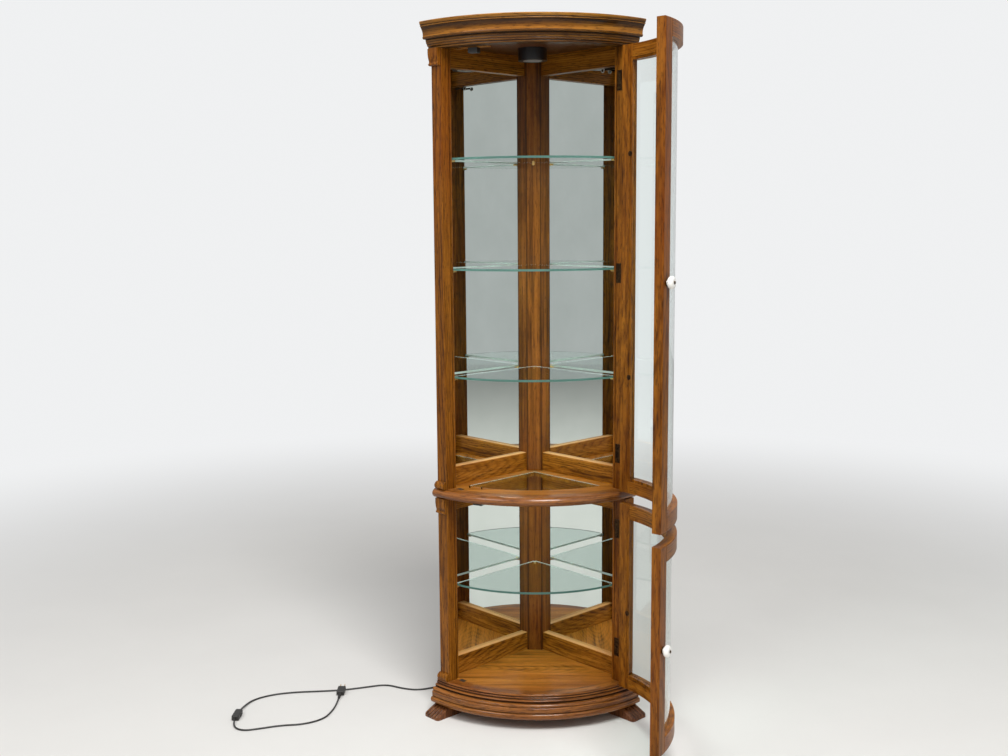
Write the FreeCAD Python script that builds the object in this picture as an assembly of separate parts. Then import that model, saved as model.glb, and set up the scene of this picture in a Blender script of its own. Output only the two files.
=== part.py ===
import FreeCAD, Part
import math
import os

from FreeCAD import Placement, Rotation, Vector

# Corner curio cabinet with a bowed front, two glazed doors and a lit, mirrored inside.
# Millimetres, +Z up. The origin is on the floor, under the line where the two mirrored walls meet.
# The walls run forward from that line at 45 degrees to each side, and the bowed front faces -Y.
# On a wall, t is the distance from the corner line along the wall, and n is the distance from the
# silvered face into the cabinet. Side -1 is the left wall, +1 the right one.

# Heights
foot_height = 34.0
lower_opening = 547.0
upper_opening = 1232.0
board_thickness = 16.0
top_panel_thickness = 12.0
top_panel_rise = 10.0

# The boards' radius about the corner line, and how far the mouldings stand out from the boards
carcass_radius = 370.0
cap_overhang = 60.0
cove_overhang = 55.5
frieze_overhang = 38.0
waist_overhang = 40.0
ogee_overhang = 50.0
plinth_overhang = 58.0
frieze_lap = 8.0
cove_setback = 5.0

# Profiles of the mouldings, from the bottom up. Each step has its rise, how far it then stands back
# from the moulding's radius, and how far its face bulges.
plinth_profile = ((0, 5, 0), (16, 3, 4), (1.5, 7, 0), (2, 6, 0), (10.5, 6, 0), (4, 11, 1.3))
ogee_profile = ((0, 3, 0), (7, 1, 2), (3, 9, 1.3), (0, 12, 0), (2, 12, 0), (6, 13, 2), (1, 17, 0),
                (1, 18, 0), (5, 18, 2), (0.6, 20, 0), (7.4, 21, 2.8))
waist_profile = ((0, 13.5, 0), (15, 0, 4.1), (12, 16, 3.6), (1, 22, 0))
frieze_profile = ((0, 12.5, 0), (5.5, 9.5, 1.8), (1.5, 8, 0), (4.5, 5, 1.4), (1.2, 4, 0), (5, 1.8, 1),
                  (1.3, 0.8, 0), (5, 0, 0.4), (1, 0, 0))
cove_profile = ((0, 11.5, 0), (5.5, 6.5, 1.8), (0.5, 7.5, 0), (24.5, 0.7, -2.6), (2.5, 0, 0))
cap_profile = ((0, 3.7, 0), (2.5, 3, 0.9), (1.2, 4.2, 0), (0, 2.6, 0), (7.8, 0, 0.3), (2.5, 2.4, 0.8))

# Walls and posts
back_depth = 7.0
mirror_thickness = 3.0
back_chamfer = 2.0
back_lap = 30.5
mirror_start = 12.0
mirror_lap = 14.5
glazing_clearance = 0.2
post_projection = 25.5
post_depth = 38.0
post_width = 40.0
post_rounding = 2.5
bead_width = 8.5
bead_rounding = 3.0
quirk_width = 1.8
quirk_depth = 2.5
corner_post_reach = 49.0
corner_post_side = 19.4
rail_thickness = 13.2
rail_height = 56.0
rail_rounding = 2.0

# Deck glass and shelves
deck_glass_margin = 52.0
deck_glass_setback = 46.0
deck_glass_thickness = 6.0
deck_ledge = 6.0
shelf_thickness = 6.0
shelf_setback = 31.0
shelf_end_clearance = 1.5
lower_shelf_height = 383.0
first_shelf_height = 994.0
shelf_spacing = 307.0
upper_shelf_count = 3
pin_radius = 2.5
pin_reach = 12.0
pin_hole_depth = 8.0
pin_collar_radius = 4.0
pin_collar = 1.5
pin_clearance = 0.05
pin_setback = 36.0

# Doors
door_setback = 4.0
shelf_clearance = 6.0
door_thickness = 25.5
door_gap = 3.0
door_end_gap = 3.0
door_open_angle = 96.0
stile_width = 38.0
door_rail_height = 42.0
door_rounding = 2.5
stile_easing = 2.0
rebate_width = 8.0
rebate_depth = 13.0
door_glass_thickness = 4.0
door_glass_clearance = 0.3
glass_play = 0.05
glass_stop_recess = 1.0
knob_radius = 15.5
knob_length = 20.0
knob_neck_radius = 8.0
knob_base_radius = 9.5
knob_base_thickness = 3.0
lower_knob_rise = 7.0
knob_screw_radius = 2.0
knob_screw_head_radius = 4.2
knob_screw_head = 2.0
upper_clip_heights = (1007.0, 1617.0)
lower_clip_heights = (329.0,)
clip_radius = 7.0
clip_thickness = 2.0
clip_overlap = 1.0

# Hinges
hinge_inset = 5.5
hinge_length = 54.5
hinge_top_offset = 87.0
hinge_bottom_offset = 100.0
leaf_thickness = 1.2
leaf_width = 26.0
leaf_setback = 0.3
knuckle_radius = 3.2
knuckle_clearance = 0.3
middle_knuckle = 21.0
knuckle_gap = 0.3
hinge_pin_radius = 1.5
hinge_pin_clearance = 0.05
hinge_pin_head = 1.2
hinge_pin_head_radius = 2.8

# Carved blocks on the outer faces of the posts
block_width = 39.0
top_corbel_height = 46.0
top_corbel_lead = 0.0
waist_corbel_height = 45.0
waist_corbel_reach = 9.5
pad_height = 21.0
pad_reach = 12.0
pad_roll = 6.0

# Feet
foot_width = 61.0
foot_reach = 58.5
foot_slope = 56.0
foot_tip_height = 9.0
foot_heel = 5.5
foot_offset = 3.5
foot_rounding = 9.0
foot_edge_rounding = 4.0
toe_count = 5
toe_groove_radius = 3.6
toe_groove_start = 2.2
toe_groove_end = -1.2
rear_foot_reach = 66.0
rear_foot_setback = 62.0
rear_foot_wall = 16.0

# Light, its lead and the catches
light_radius = 41.0
light_height = 34.0
light_wall = 2.0
light_place = 200.0
lens_radius = 27.0
lens_thickness = 3.0
bulb_radius = 12.0
bulb_length = 24.0
bulb_holder_radius = 7.2
bulb_holder_height = 8.0
lens_play = 0.05
cable_radius = 2.5
lead_bend = 15.0
lead_rise = 26.0
lead_end_height = 62.0
notch_clearance = 3.5
cable_gap = 0.2
clip_heights = (90.0, 520.0, 1000.0, 1480.0, 1880.0)
clip_height = 8.0
clip_wall = 1.2
catch_width = 28.0
catch_depth = 20.0
catch_height = 14.0
catch_turn = 26.6
catch_recess = 2.0
cleat_thickness = 12.0
cleat_width = 20.0
cleat_start = 50.0
cleat_end = 150.0
catch_gap = 1.0
strike_thickness = 1.3
strike_width = 24.0
strike_height = 13.0
strike_setback = 3.0
strike_seat = 0.2
plate_setback = 4.0
plate_width = 20.0
plate_depth = 12.0
plate_thickness = 1.0

# Inline switch and plug on the free cord
switch_length = 52.0
switch_width = 22.0
switch_height = 17.0
switch_rounding = 5.0
wheel_radius = 8.5
wheel_thickness = 5.0
wheel_offset = 5.5
wheel_gap = 0.4
wheel_ridges = 18
wheel_groove = 0.55
axle_radius = 1.5
axle_clearance = 0.05
plug_tilt = 5.5
relief_length = 26.0
relief_radius = 3.6
relief_end_radius = 5.2
relief_grooves = 4
relief_groove_pitch = 5.0
relief_groove_width = 1.6
relief_groove_depth = 0.5
plug_length = 38.0
plug_width = 24.0
plug_height = 13.0
plug_rounding = 3.0
blade_length = 17.0
blade_width = 6.3
blade_thickness = 1.5
blade_seat = 10.0
blade_rounding = 1.8
blade_spacing = 12.7

# Routes of the free cord, from the foot of the lead to the switch, and from the switch to the plug
switch_route = (
    (0, 4.7, 62), (0, 4.7, 2.6), (-55, 33, 2.6), (-122, 24, 2.6), (-184, -12, 2.6), (-236, -62, 2.6),
    (-298, -104, 2.6), (-358, -136, 2.6), (-412, -124, 2.6), (-466, -92, 2.6), (-530, -116, 2.6),
    (-598, -139, 2.6), (-668, -149, 2.6), (-738, -156, 2.6), (-802, -174, 2.6), (-852, -210, 2.6),
    (-871, -262, 5), (-874, -312, 8.5),
)
plug_route = (
    (-874, -364, 8.5), (-871, -406, 4.2), (-836, -434, 2.6), (-788, -418, 2.6), (-733, -396, 2.6),
    (-668, -388, 2.6), (-616, -350, 2.6), (-601, -292, 2.6), (-597, -240.8, 2.6), (-597, -205, 6.05),
)

# Levels and lines that follow from the sizes above
def rise(profile):
    return sum(step[0] for step in profile)


plinth_top = foot_height + rise(plinth_profile)
base_top = plinth_top + rise(ogee_profile)
waist_bottom = base_top + lower_opening
waist_top = waist_bottom + rise(waist_profile)
crown_bottom = waist_top + upper_opening
cove_bottom = crown_bottom + rise(frieze_profile)
cap_bottom = cove_bottom + rise(cove_profile)
cap_top = cap_bottom + rise(cap_profile)
floor_bottom = base_top - board_thickness
deck_bottom = waist_top - board_thickness
ceiling = crown_bottom + top_panel_rise
panel_top = ceiling + top_panel_thickness
cap_radius = carcass_radius + cap_overhang
cove_radius = carcass_radius + cove_overhang
frieze_radius = carcass_radius + frieze_overhang
waist_radius = carcass_radius + waist_overhang
ogee_radius = carcass_radius + ogee_overhang
plinth_radius = carcass_radius + plinth_overhang
frieze_inner_radius = carcass_radius - frieze_lap
cove_inner_radius = carcass_radius + cove_setback
deck_glass_radius = carcass_radius - deck_glass_margin
door_inner_radius = carcass_radius - door_setback
shelf_radius = door_inner_radius - shelf_clearance
post_outer = carcass_radius + post_projection
post_inner = post_outer - post_depth
back_reach = post_inner + back_lap
mirror_end = post_inner + mirror_lap
hinge_axis_t = post_outer + knuckle_clearance + knuckle_radius
hinge_axis_n = post_width - hinge_inset
top_corbel_reach = frieze_radius + top_corbel_lead - post_outer
foot_tip = post_outer + foot_reach
foot_slope_start = foot_tip - foot_slope
foot_root = post_inner - foot_heel
plate_place = door_inner_radius - plate_setback
door_outer_radius = door_inner_radius + door_thickness
door_edge = post_width + door_end_gap
sight_line = door_edge + stile_width
pocket_line = sight_line - rebate_width
glass_outer_radius = door_inner_radius + rebate_depth
glass_inner_radius = glass_outer_radius - door_glass_thickness
upper_shelf_heights = [first_shelf_height + i * shelf_spacing for i in range(upper_shelf_count)]
corner_face = (corner_post_reach + corner_post_side) / math.sqrt(2)

up = Vector(0, 0, 1)
solids_written = 0


def wall_point(side, t, n, z=0.0):
    """The point at t along a wall and n in front of it."""
    return Vector(side * (t - n) / math.sqrt(2), -(t + n) / math.sqrt(2), z)


def wall_direction(side):
    """The way along a wall, from the corner to the front."""
    return wall_point(side, 1, 0)


def prism(points, bottom, top):
    """An upright solid on a plan outline."""
    corners = [Vector(p.x, p.y, bottom) for p in points]
    return Part.Face(Part.makePolygon(corners + corners[:1])).extrude(up * (top - bottom))


def wall_block(side, t_span, n_span, z_span):
    """A block square to a wall."""
    (t0, t1), (n0, n1) = t_span, n_span
    plan = [wall_point(side, t, n) for t, n in ((t0, n0), (t1, n0), (t1, n1), (t0, n1))]
    return prism(plan, *z_span)


def between_walls(n, bottom, top):
    """All that lies at least n in front of both walls, cut square at the back chamfer."""
    reach = 2 * cap_radius
    tip = -n * math.sqrt(2)
    if tip > back_chamfer:
        half = tip - back_chamfer
        back = [Vector(-half, back_chamfer, 0), Vector(half, back_chamfer, 0)]
    else:
        back = [Vector(0, tip, 0)]
    return prism([Vector(-reach, tip - reach, 0)] + back + [Vector(reach, tip - reach, 0)], bottom, top)


def upright_cylinder(radius, bottom, top, x=0.0, y=0.0):
    return Part.makeCylinder(radius, top - bottom, Vector(x, y, bottom))


def bow(inner, outer, bottom, top):
    """A plain ring about the corner line."""
    return upright_cylinder(outer, bottom, top).cut(upright_cylinder(inner, bottom, top))


def outline(*corners):
    """A face in the XZ plane. A corner with a third number is reached by an arc that bulges so far."""
    edges = []
    here = Vector(corners[0][0], 0, corners[0][1])
    for corner in corners[1:] + corners[:1]:
        end = Vector(corner[0], 0, corner[1])
        if len(corner) > 2 and corner[2]:
            chord = end - here
            out = Vector(chord.z, 0, -chord.x).normalize() * corner[2]
            edges.append(Part.Arc(here, here + chord * 0.5 + out, end).toShape())
        elif (end - here).Length > 0:
            edges.append(Part.makeLine(here, end))
        here = end
    return Part.Face(Part.Wire(edges))


def turned(face):
    return face.revolve(Vector(0, 0, 0), up, 360)


def front_half_turned(face):
    """A profile turned through the half circle in front of the corner line."""
    start = face.copy()
    start.rotate(Vector(0, 0, 0), up, 180)
    return start.revolve(Vector(0, 0, 0), up, 180)


def turned_profile(inner, radius, bottom, profile):
    """A moulding's full quarter ring, ending in line with the backs of the walls."""
    corners = [(inner, bottom)]
    top = bottom
    for step_rise, setback, bulge in profile:
        top += step_rise
        corners.append((radius - setback, top, bulge))
    ring = front_half_turned(outline(*corners, (inner, top)))
    return ring.common(between_walls(-back_depth, bottom, top))


def moulding(inner, radius, bottom, profile):
    """A quarter ring let in between the back panels, which run up behind it."""
    shape = turned_profile(inner, radius, bottom, profile)
    levels = (bottom, bottom + rise(profile))
    for side in (-1, 1):
        shape = shape.cut(wall_block(side, (0, back_reach), (-back_depth, 0), levels))
    return shape


def upright_edges(shape, *spots):
    """The straight upright edges of a shape that pass through the given plan points."""
    found = []
    for edge in shape.Edges:
        a, b = edge.Vertexes[0].Point, edge.Vertexes[-1].Point
        level = math.hypot(a.x - b.x, a.y - b.y) < 1e-6
        if level and any(math.hypot(a.x - s.x, a.y - s.y) < 1e-3 for s in spots):
            found.append(edge)
    return found


def edges_through(shape, spot):
    """The edges of a shape that pass through a point, for a fillet that runs on along the rest."""
    vertex = Part.Vertex(spot)
    return [edge for edge in shape.Edges if edge.distToShape(vertex)[0] < 1e-3]


def export(name, *shapes):
    """Write one node, as a group where it has several pieces, and report it."""
    global solids_written
    shape = shapes[0] if len(shapes) == 1 else Part.Compound(list(shapes))
    shape.exportStep("parts/" + name + ".step")
    solids_written += len(shape.Solids)
    if not shape.isValid() or not shape.Solids:
        print("check", name, shape.ShapeType, len(shape.Solids))


# Posts ------------------------------------------------------------------------------------------

def post_block(side, bottom, top):
    return wall_block(side, (post_inner, post_outer), (0, post_width), (bottom, top))


def corner_post_block(bottom, top):
    """The back post: a flat face to the front and two faces square to the walls."""
    half = []
    for t, n in ((corner_post_reach, corner_post_side), (corner_post_reach, 0), (mirror_start, 0),
                 (mirror_start, -mirror_thickness)):
        half.append(wall_point(-1, t, n))
    half.append(Vector(back_chamfer - mirror_thickness * math.sqrt(2), back_chamfer, 0))
    other = [Vector(-p.x, p.y, 0) for p in reversed(half)]
    return prism(half + other, bottom, top)


def shelf_levels():
    return [lower_shelf_height] + upper_shelf_heights


def pin_places():
    """Where each shelf pin leaves its post, and the way it points, for all levels."""
    places = []
    for level in shelf_levels():
        z = level - pin_radius
        places.append((Vector(0, -corner_face, z), Vector(0, -1, 0)))
        for side in (-1, 1):
            places.append((wall_point(side, post_inner, pin_setback, z), -wall_direction(side)))
    return places


def drilled(post):
    """A post with the blind holes of the shelf pins."""
    for place, way in pin_places():
        hole = Part.makeCylinder(pin_radius + pin_clearance, pin_hole_depth, place, -way)
        post = post.cut(hole)
    return post


def make_posts():
    """Each front post has a bead along its inner edge, set off by a narrow groove."""
    quirk_start = post_inner + bead_width
    for side, name in ((-1, "post_left"), (1, "post_right")):
        post = post_block(side, foot_height, crown_bottom)
        arris = [wall_point(side, post_outer, 0), wall_point(side, post_outer, post_width)]
        post = post.makeFillet(post_rounding, upright_edges(post, *arris))
        bead = [wall_point(side, post_inner, post_width)]
        post = post.makeFillet(bead_rounding, upright_edges(post, *bead))
        post = post.cut(wall_block(side, (quirk_start, quirk_start + quirk_width),
                                   (post_width - quirk_depth, post_width), (foot_height, crown_bottom)))
        export(name, drilled(post))
    export("corner_post", drilled(corner_post_block(foot_height, ceiling)))


def make_pins():
    pins = []
    for place, way in pin_places():
        length = pin_hole_depth + pin_reach
        pin = Part.makeCylinder(pin_radius, length, place - way * pin_hole_depth, way)
        collar = Part.makeCylinder(pin_collar_radius, pin_collar, place, way)
        pin = pin.fuse(collar)
        # the collar's top is planed off, so that the glass lies on the pin itself
        flat = Part.makeBox(20, 20, 10, Vector(place.x - 10, place.y - 10, place.z + pin_radius))
        pins.append(pin.cut(flat).removeSplitter())
    export("shelf_pins", *pins)


# Walls ------------------------------------------------------------------------------------------

def make_walls():
    panels = []
    mirrors = []
    for side in (-1, 1):
        depths = (-back_depth, -mirror_thickness)
        panel = wall_block(side, (0, back_reach), depths, (foot_height, cap_bottom))
        panel = panel.common(between_walls(-back_depth, 0, cap_top))
        reach = 2 * cap_radius
        half = Part.makeBox(reach, 2 * reach, cap_top, Vector(0 if side > 0 else -reach, -reach, 0))
        width, depth = 2 * cable_radius + 2 * notch_clearance, 2 * back_depth
        height = lead_bend + 2 * notch_clearance
        notch = Part.makeBox(width, depth, height, Vector(-width / 2, -depth / 2, panel_top + cable_gap))
        panels.append(panel.common(half).cut(notch))
        for bottom, top in ((base_top, deck_bottom), (waist_top, ceiling)):
            mirrors.append(wall_block(side, (mirror_start + glazing_clearance, mirror_end),
                                      (-mirror_thickness, 0), (bottom, top)))
    export("back_panels", *panels)
    export("mirrors", *mirrors)


def wall_rail(side, bottom, top, rounded):
    """A rail between the corner post and a front post, its free inner edge rounded."""
    rail = wall_block(side, (corner_post_reach, post_inner), (0, rail_thickness), (bottom, top))
    edges = []
    for edge in rail.Edges:
        middle = edge.CenterOfMass
        front = abs((side * middle.x * -1 - middle.y) / math.sqrt(2) - rail_thickness) < 1e-3
        if front and abs(middle.z - rounded) < 1e-3:
            edges.append(edge)
    return rail.makeFillet(rail_rounding, edges)


def make_rails():
    spans = (("lower_rails", base_top, deck_bottom), ("upper_rails", waist_top, ceiling))
    for name, bottom, top in spans:
        rails = []
        for side in (-1, 1):
            rails.append(wall_rail(side, bottom, bottom + rail_height, bottom + rail_height))
            rails.append(wall_rail(side, top - rail_height, top, top - rail_height))
        export(name, *rails)
    skirts = [wall_block(side, (corner_post_reach, post_inner), (0, rail_thickness),
                         (foot_height, floor_bottom)) for side in (-1, 1)]
    export("base_rails", *skirts)


# Boards and mouldings -----------------------------------------------------------------------------

def board(bottom, top, radius=carcass_radius):
    """A quarter-round board that reaches the back panels and is notched round the posts."""
    shape = upright_cylinder(radius, bottom, top)
    return shape.common(between_walls(-mirror_thickness, bottom, top))


def notched(shape):
    for side in (-1, 1):
        shape = shape.cut(post_block(side, 0, crown_bottom))
    return shape.cut(corner_post_block(0, ceiling))


def make_base():
    export("floor_panel", notched(board(floor_bottom, base_top)))
    export("base_ogee", notched(moulding(carcass_radius, ogee_radius, plinth_top, ogee_profile)))
    export("base_plinth", notched(moulding(carcass_radius, plinth_radius, foot_height, plinth_profile)))


def deck_glass_plan(margin, bottom, top):
    shape = upright_cylinder(deck_glass_radius - margin, bottom, top)
    return shape.common(between_walls(deck_glass_setback + margin, bottom, top))


def make_waist():
    ledge_top = waist_top - deck_glass_thickness
    deck = notched(board(deck_bottom, waist_top))
    deck = deck.cut(deck_glass_plan(0, ledge_top, waist_top))
    deck = deck.cut(deck_glass_plan(deck_ledge, deck_bottom, ledge_top))
    export("waist_deck", deck)
    export("deck_glass", deck_glass_plan(glazing_clearance, ledge_top, waist_top))
    nose = moulding(carcass_radius, waist_radius, waist_bottom, waist_profile)
    export("waist_moulding", notched(nose))


def make_crown():
    panel = board(ceiling, panel_top, frieze_inner_radius)
    hole = upright_cylinder(cable_radius + cable_gap, ceiling, panel_top, 0, -light_place)
    export("top_panel", panel.cut(hole))
    export("crown_frieze", moulding(frieze_inner_radius, frieze_radius, crown_bottom, frieze_profile))
    export("crown_cove", moulding(cove_inner_radius, cove_radius, cove_bottom, cove_profile))
    export("crown_cap", turned_profile(0, cap_radius, cap_bottom, cap_profile))


# Carved blocks and feet ---------------------------------------------------------------------------

def outer_block(side, profile):
    """A block on a post's outer face: a profile of (reach, z), extruded across the post."""
    middle = post_width / 2
    base = wall_point(side, post_outer, middle - block_width / 2)
    across = wall_point(side, 0, 1)
    face = profile.copy()
    inward = -across if side < 0 else across
    face.Placement = Placement(base, Rotation(wall_direction(side), inward, up, "XZY"))
    return face.extrude(across * block_width)


def corbel_profile(bottom, height, reach):
    top = bottom + height
    return outline(
        (0, bottom), (reach * 0.55, bottom), (reach * 0.9, bottom + height * 0.06),
        (reach * 0.9, bottom + height * 0.1), (reach * 0.62, bottom + height * 0.26, -height * 0.025),
        (reach, bottom + height * 0.72, height * 0.02), (reach, top), (0, top))


def pad_profile(bottom):
    top = bottom + pad_height
    return outline(
        (0, bottom), (pad_reach * 0.55, bottom), (pad_reach * 0.55, top - pad_height * 0.12, pad_roll),
        (pad_reach * 0.3, top), (0, top))


def make_blocks():
    both = (-1, 1)
    top = corbel_profile(crown_bottom - top_corbel_height, top_corbel_height, top_corbel_reach)
    waist = corbel_profile(waist_bottom - waist_corbel_height, waist_corbel_height, waist_corbel_reach)
    export("corbels", *[outer_block(side, profile) for side in both for profile in (waist, top)])
    pads = [outer_block(side, pad_profile(level)) for side in both for level in (base_top, waist_top)]
    export("post_pads", *pads)


def paw(side):
    """A front foot: a block under the post whose sloping front is grooved into toes."""
    middle = post_width / 2 + foot_offset
    near, far = middle - foot_width / 2, middle + foot_width / 2
    foot = wall_block(side, (foot_root, foot_tip), (near, far), (0, foot_height))
    tips = [wall_point(side, foot_tip, near), wall_point(side, foot_tip, far)]
    foot = foot.makeFillet(foot_rounding, upright_edges(foot, *tips))
    run, drop = foot_tip - foot_slope_start, foot_height - foot_tip_height
    levels = (foot_height, foot_height + run)
    above = wall_block(side, (foot_slope_start, foot_tip + run), (near, far), levels)
    above.rotate(wall_point(side, foot_slope_start, 0, foot_height), wall_point(side, 0, 1),
                 -side * math.degrees(math.atan2(drop, run)))
    foot = foot.cut(above)
    tip_line = wall_point(side, foot_tip, middle, foot_tip_height)
    foot = foot.makeFillet(foot_edge_rounding, edges_through(foot, tip_line))
    for i in range(1, toe_count):
        n = near + i * foot_width / toe_count
        start = wall_point(side, foot_slope_start, n, foot_height + toe_groove_start)
        end = wall_point(side, foot_tip, n, foot_tip_height + toe_groove_end)
        way = end - start
        groove_length = 2 * way.Length
        way.normalize()
        foot = foot.cut(Part.makeCylinder(toe_groove_radius, groove_length, start, way))
    return foot


def make_feet():
    export("foot_left", paw(-1))
    export("foot_right", paw(1))
    half = [Vector(rear_foot_reach - rear_foot_wall, -rear_foot_reach, 0),
            Vector(rear_foot_reach, -rear_foot_setback, 0), Vector(back_chamfer, back_chamfer, 0)]
    other = [Vector(-p.x, p.y, 0) for p in reversed(half)]
    export("foot_rear", prism(half + other, 0, foot_height))


# Shelves ------------------------------------------------------------------------------------------

def make_shelves():
    names = ["lower_shelf"] + ["upper_shelf_%d" % (i + 1) for i in range(upper_shelf_count)]
    reach = post_inner - shelf_end_clearance
    for name, level in zip(names, shelf_levels()):
        top = level + shelf_thickness
        shelf = upright_cylinder(shelf_radius, level, top)
        shelf = shelf.common(between_walls(shelf_setback, level, top))
        nose = Vector(-corner_face, -corner_face - shelf_end_clearance, level)
        shelf = shelf.cut(Part.makeBox(2 * corner_face, corner_face, shelf_thickness, nose))
        for side in (-1, 1):
            end = wall_block(side, (reach, 2 * shelf_radius), (-shelf_radius, shelf_radius), (level, top))
            shelf = shelf.cut(end)
        export(name, shelf)


# Doors --------------------------------------------------------------------------------------------

hinge_foot = wall_point(1, hinge_axis_t, hinge_axis_n)


def opened(shape):
    """A door piece, drawn shut, turned about the hinges to where the door stands."""
    placed = shape.copy()
    placed.rotate(hinge_foot, up, door_open_angle)
    return placed


def door_bow(bottom, top):
    """The door's full bowed slab, its outer edges rounded top and bottom."""
    a, r = door_rounding, door_outer_radius
    bulge = a * (1 - math.sqrt(0.5))
    return front_half_turned(outline(
        (door_inner_radius, bottom), (r - a, bottom), (r, bottom + a, bulge),
        (r, top - a), (r - a, top, bulge), (door_inner_radius, top)))


def door_rail(edge, way):
    """A bowed rail from the door's top or bottom edge, rebated along its other edge for the glass."""
    a, r = way * door_rounding, door_outer_radius
    bulge = a * (1 - math.sqrt(0.5))
    sight = edge + way * door_rail_height
    seat = sight - way * rebate_width
    face = outline(
        (door_inner_radius, edge), (r - door_rounding, edge), (r, edge + a, bulge), (r, sight),
        (glass_outer_radius, sight), (glass_outer_radius, seat), (door_inner_radius, seat))
    return front_half_turned(face).common(between_walls(sight_line, min(edge, sight), max(edge, sight)))


def stile_band(side, n0, n1, bottom, top):
    return wall_block(side, (0, 2 * door_outer_radius), (n0, n1), (bottom, top))


def on_bow(side, radius, n, z):
    """A point on a bowed surface at n from a wall, and the outward way there."""
    point = wall_point(side, math.sqrt(radius ** 2 - n ** 2), n, z)
    way = Vector(point.x, point.y, 0)
    way.normalize()
    return point, way


def edge_wedge(side, n, way, bottom, top):
    """What comes off a stile where its long outer edge, at n, is eased."""
    radius = door_outer_radius
    low = Vector(math.sqrt(radius ** 2 - n ** 2) - stile_easing, n, 0)
    high_n = n + way * stile_easing
    high = Vector(math.sqrt(radius ** 2 - high_n ** 2), high_n, 0)
    half = (high - low) * 0.5
    beyond = Vector(radius, n - way * 2 * stile_easing, 0)
    corners = (low - half, high + half, beyond)
    return prism([wall_point(side, corner.x, corner.y) for corner in corners], bottom, top)


def door_frame(name, bottom, top, knob_level):
    slab = door_bow(bottom, top)
    pocket = bow(door_inner_radius - 5, glass_outer_radius, bottom + door_rail_height - rebate_width,
                 top - door_rail_height + rebate_width)
    pocket = pocket.common(between_walls(pocket_line, bottom, top))
    for side, part in ((1, "hinge_stile"), (-1, "lock_stile")):
        stile = slab.common(stile_band(side, door_edge, sight_line, bottom, top)).cut(pocket)
        for n, inward in ((door_edge, 1), (sight_line, -1)):
            stile = stile.cut(edge_wedge(side, n, inward, bottom, top))
        if side < 0:
            face, way = on_bow(side, door_outer_radius, door_edge + stile_width / 2, knob_level)
            depth = 2 * door_thickness
            stile = stile.cut(Part.makeCylinder(knob_screw_radius + pin_clearance, depth, face, -way))
        export(name + "_" + part, opened(stile))
    export(name + "_rails", opened(door_rail(bottom, 1)), opened(door_rail(top, -1)))


def door_glazing(name, bottom, top):
    c = door_glass_clearance
    z0 = bottom + door_rail_height - rebate_width + c
    z1 = top - door_rail_height + rebate_width - c
    pane = bow(glass_inner_radius, glass_outer_radius - glass_play, z0, z1)
    pane = pane.common(between_walls(pocket_line + c, z0, z1))
    export(name + "_glass", opened(pane))
    ring = bow(door_inner_radius + glass_stop_recess, glass_inner_radius - glass_play, z0, z1)
    ring = ring.common(between_walls(pocket_line + c, z0, z1))
    inner_low, inner_high = bottom + door_rail_height, top - door_rail_height
    strips = [ring.common(stile_band(side, 0, sight_line, z0, z1)) for side in (-1, 1)]
    for low, high in ((z0, inner_low), (inner_high, z1)):
        strips.append(ring.common(between_walls(sight_line, low, high)))
    export(name + "_glass_stops", *[opened(strip) for strip in strips])


def along(face, place, way):
    """A turned piece, drawn about Z, set on a place and pointed a way."""
    shape = turned(face)
    shape.Placement = Placement(place, Rotation(up, way))
    return shape


def door_knob(name, level):
    face, way = on_bow(-1, door_outer_radius, door_edge + stile_width / 2, level)
    seat = knob_base_thickness
    bore = knob_screw_radius + pin_clearance
    k, l = knob_radius, knob_length
    knob = outline(
        (bore, seat), (knob_neck_radius, seat), (knob_neck_radius, l * 0.32, -0.4), (k, l * 0.62, 3),
        (k * 0.5, l, 2.6), (bore, l))
    export(name + "_knob", opened(along(knob, face, way)))
    b = knob_base_radius
    base = outline((bore, 0), (b, 0), (knob_neck_radius, seat, 0.5), (bore, seat))
    shank = glass_stop_recess - door_thickness
    h = knob_screw_head_radius
    screw = outline(
        (0, shank), (knob_screw_radius, shank), (knob_screw_radius, l), (h, l),
        (h * 0.5, l + knob_screw_head, 0.5), (0, l + knob_screw_head))
    return [along(base, face, way), along(screw, face, way)]


def door_clips(heights):
    """Round turn clips on the inner face of both stiles, which hold the glass stops."""
    clips = []
    for z in heights:
        door = bow(door_inner_radius, door_outer_radius, z - clip_radius, z + clip_radius)
        for side in (-1, 1):
            place, way = on_bow(side, door_inner_radius, sight_line - clip_radius + clip_overlap, z)
            clip = Part.makeCylinder(clip_radius, clip_thickness, place - way * clip_thickness, way)
            clips.append(clip.cut(door))
    return clips


def catch_way():
    """The way from the corner line to the catches, to the left of the middle of the front."""
    a = math.radians(-90 - catch_turn)
    return Vector(math.cos(a), math.sin(a), 0)


def catch_block(inner, outer, width, bottom, top):
    """A block across the way to the catches, between two distances from the corner line."""
    way = catch_way()
    across = Vector(-way.y, way.x, 0) * (width / 2)
    near, far = way * inner, way * outer
    return prism([near - across, far - across, far + across, near + across], bottom, top)


def door_strike(top):
    """The thin steel plate on the door that the magnet pulls on."""
    z0, z1 = top - strike_setback - strike_height, top - strike_setback
    seat = door_inner_radius - strike_seat
    plate = catch_block(seat - strike_thickness, door_outer_radius, strike_width, z0, z1)
    return plate.cut(bow(seat, 2 * door_outer_radius, z0, z1))


def make_doors():
    spans = (("lower_door", base_top, waist_bottom, lower_knob_rise, lower_clip_heights),
             ("upper_door", waist_top, crown_bottom, 0, upper_clip_heights))
    for name, opening_bottom, opening_top, knob_rise, clip_levels in spans:
        bottom, top = opening_bottom + door_gap, opening_top - door_gap
        knob_level = (bottom + top) / 2 + knob_rise
        door_frame(name, bottom, top, knob_level)
        door_glazing(name, bottom, top)
        fittings = door_knob(name, knob_level) + door_clips(clip_levels) + [door_strike(top)]
        export(name + "_fittings", *[opened(piece) for piece in fittings])


# Hinges -------------------------------------------------------------------------------------------

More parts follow.
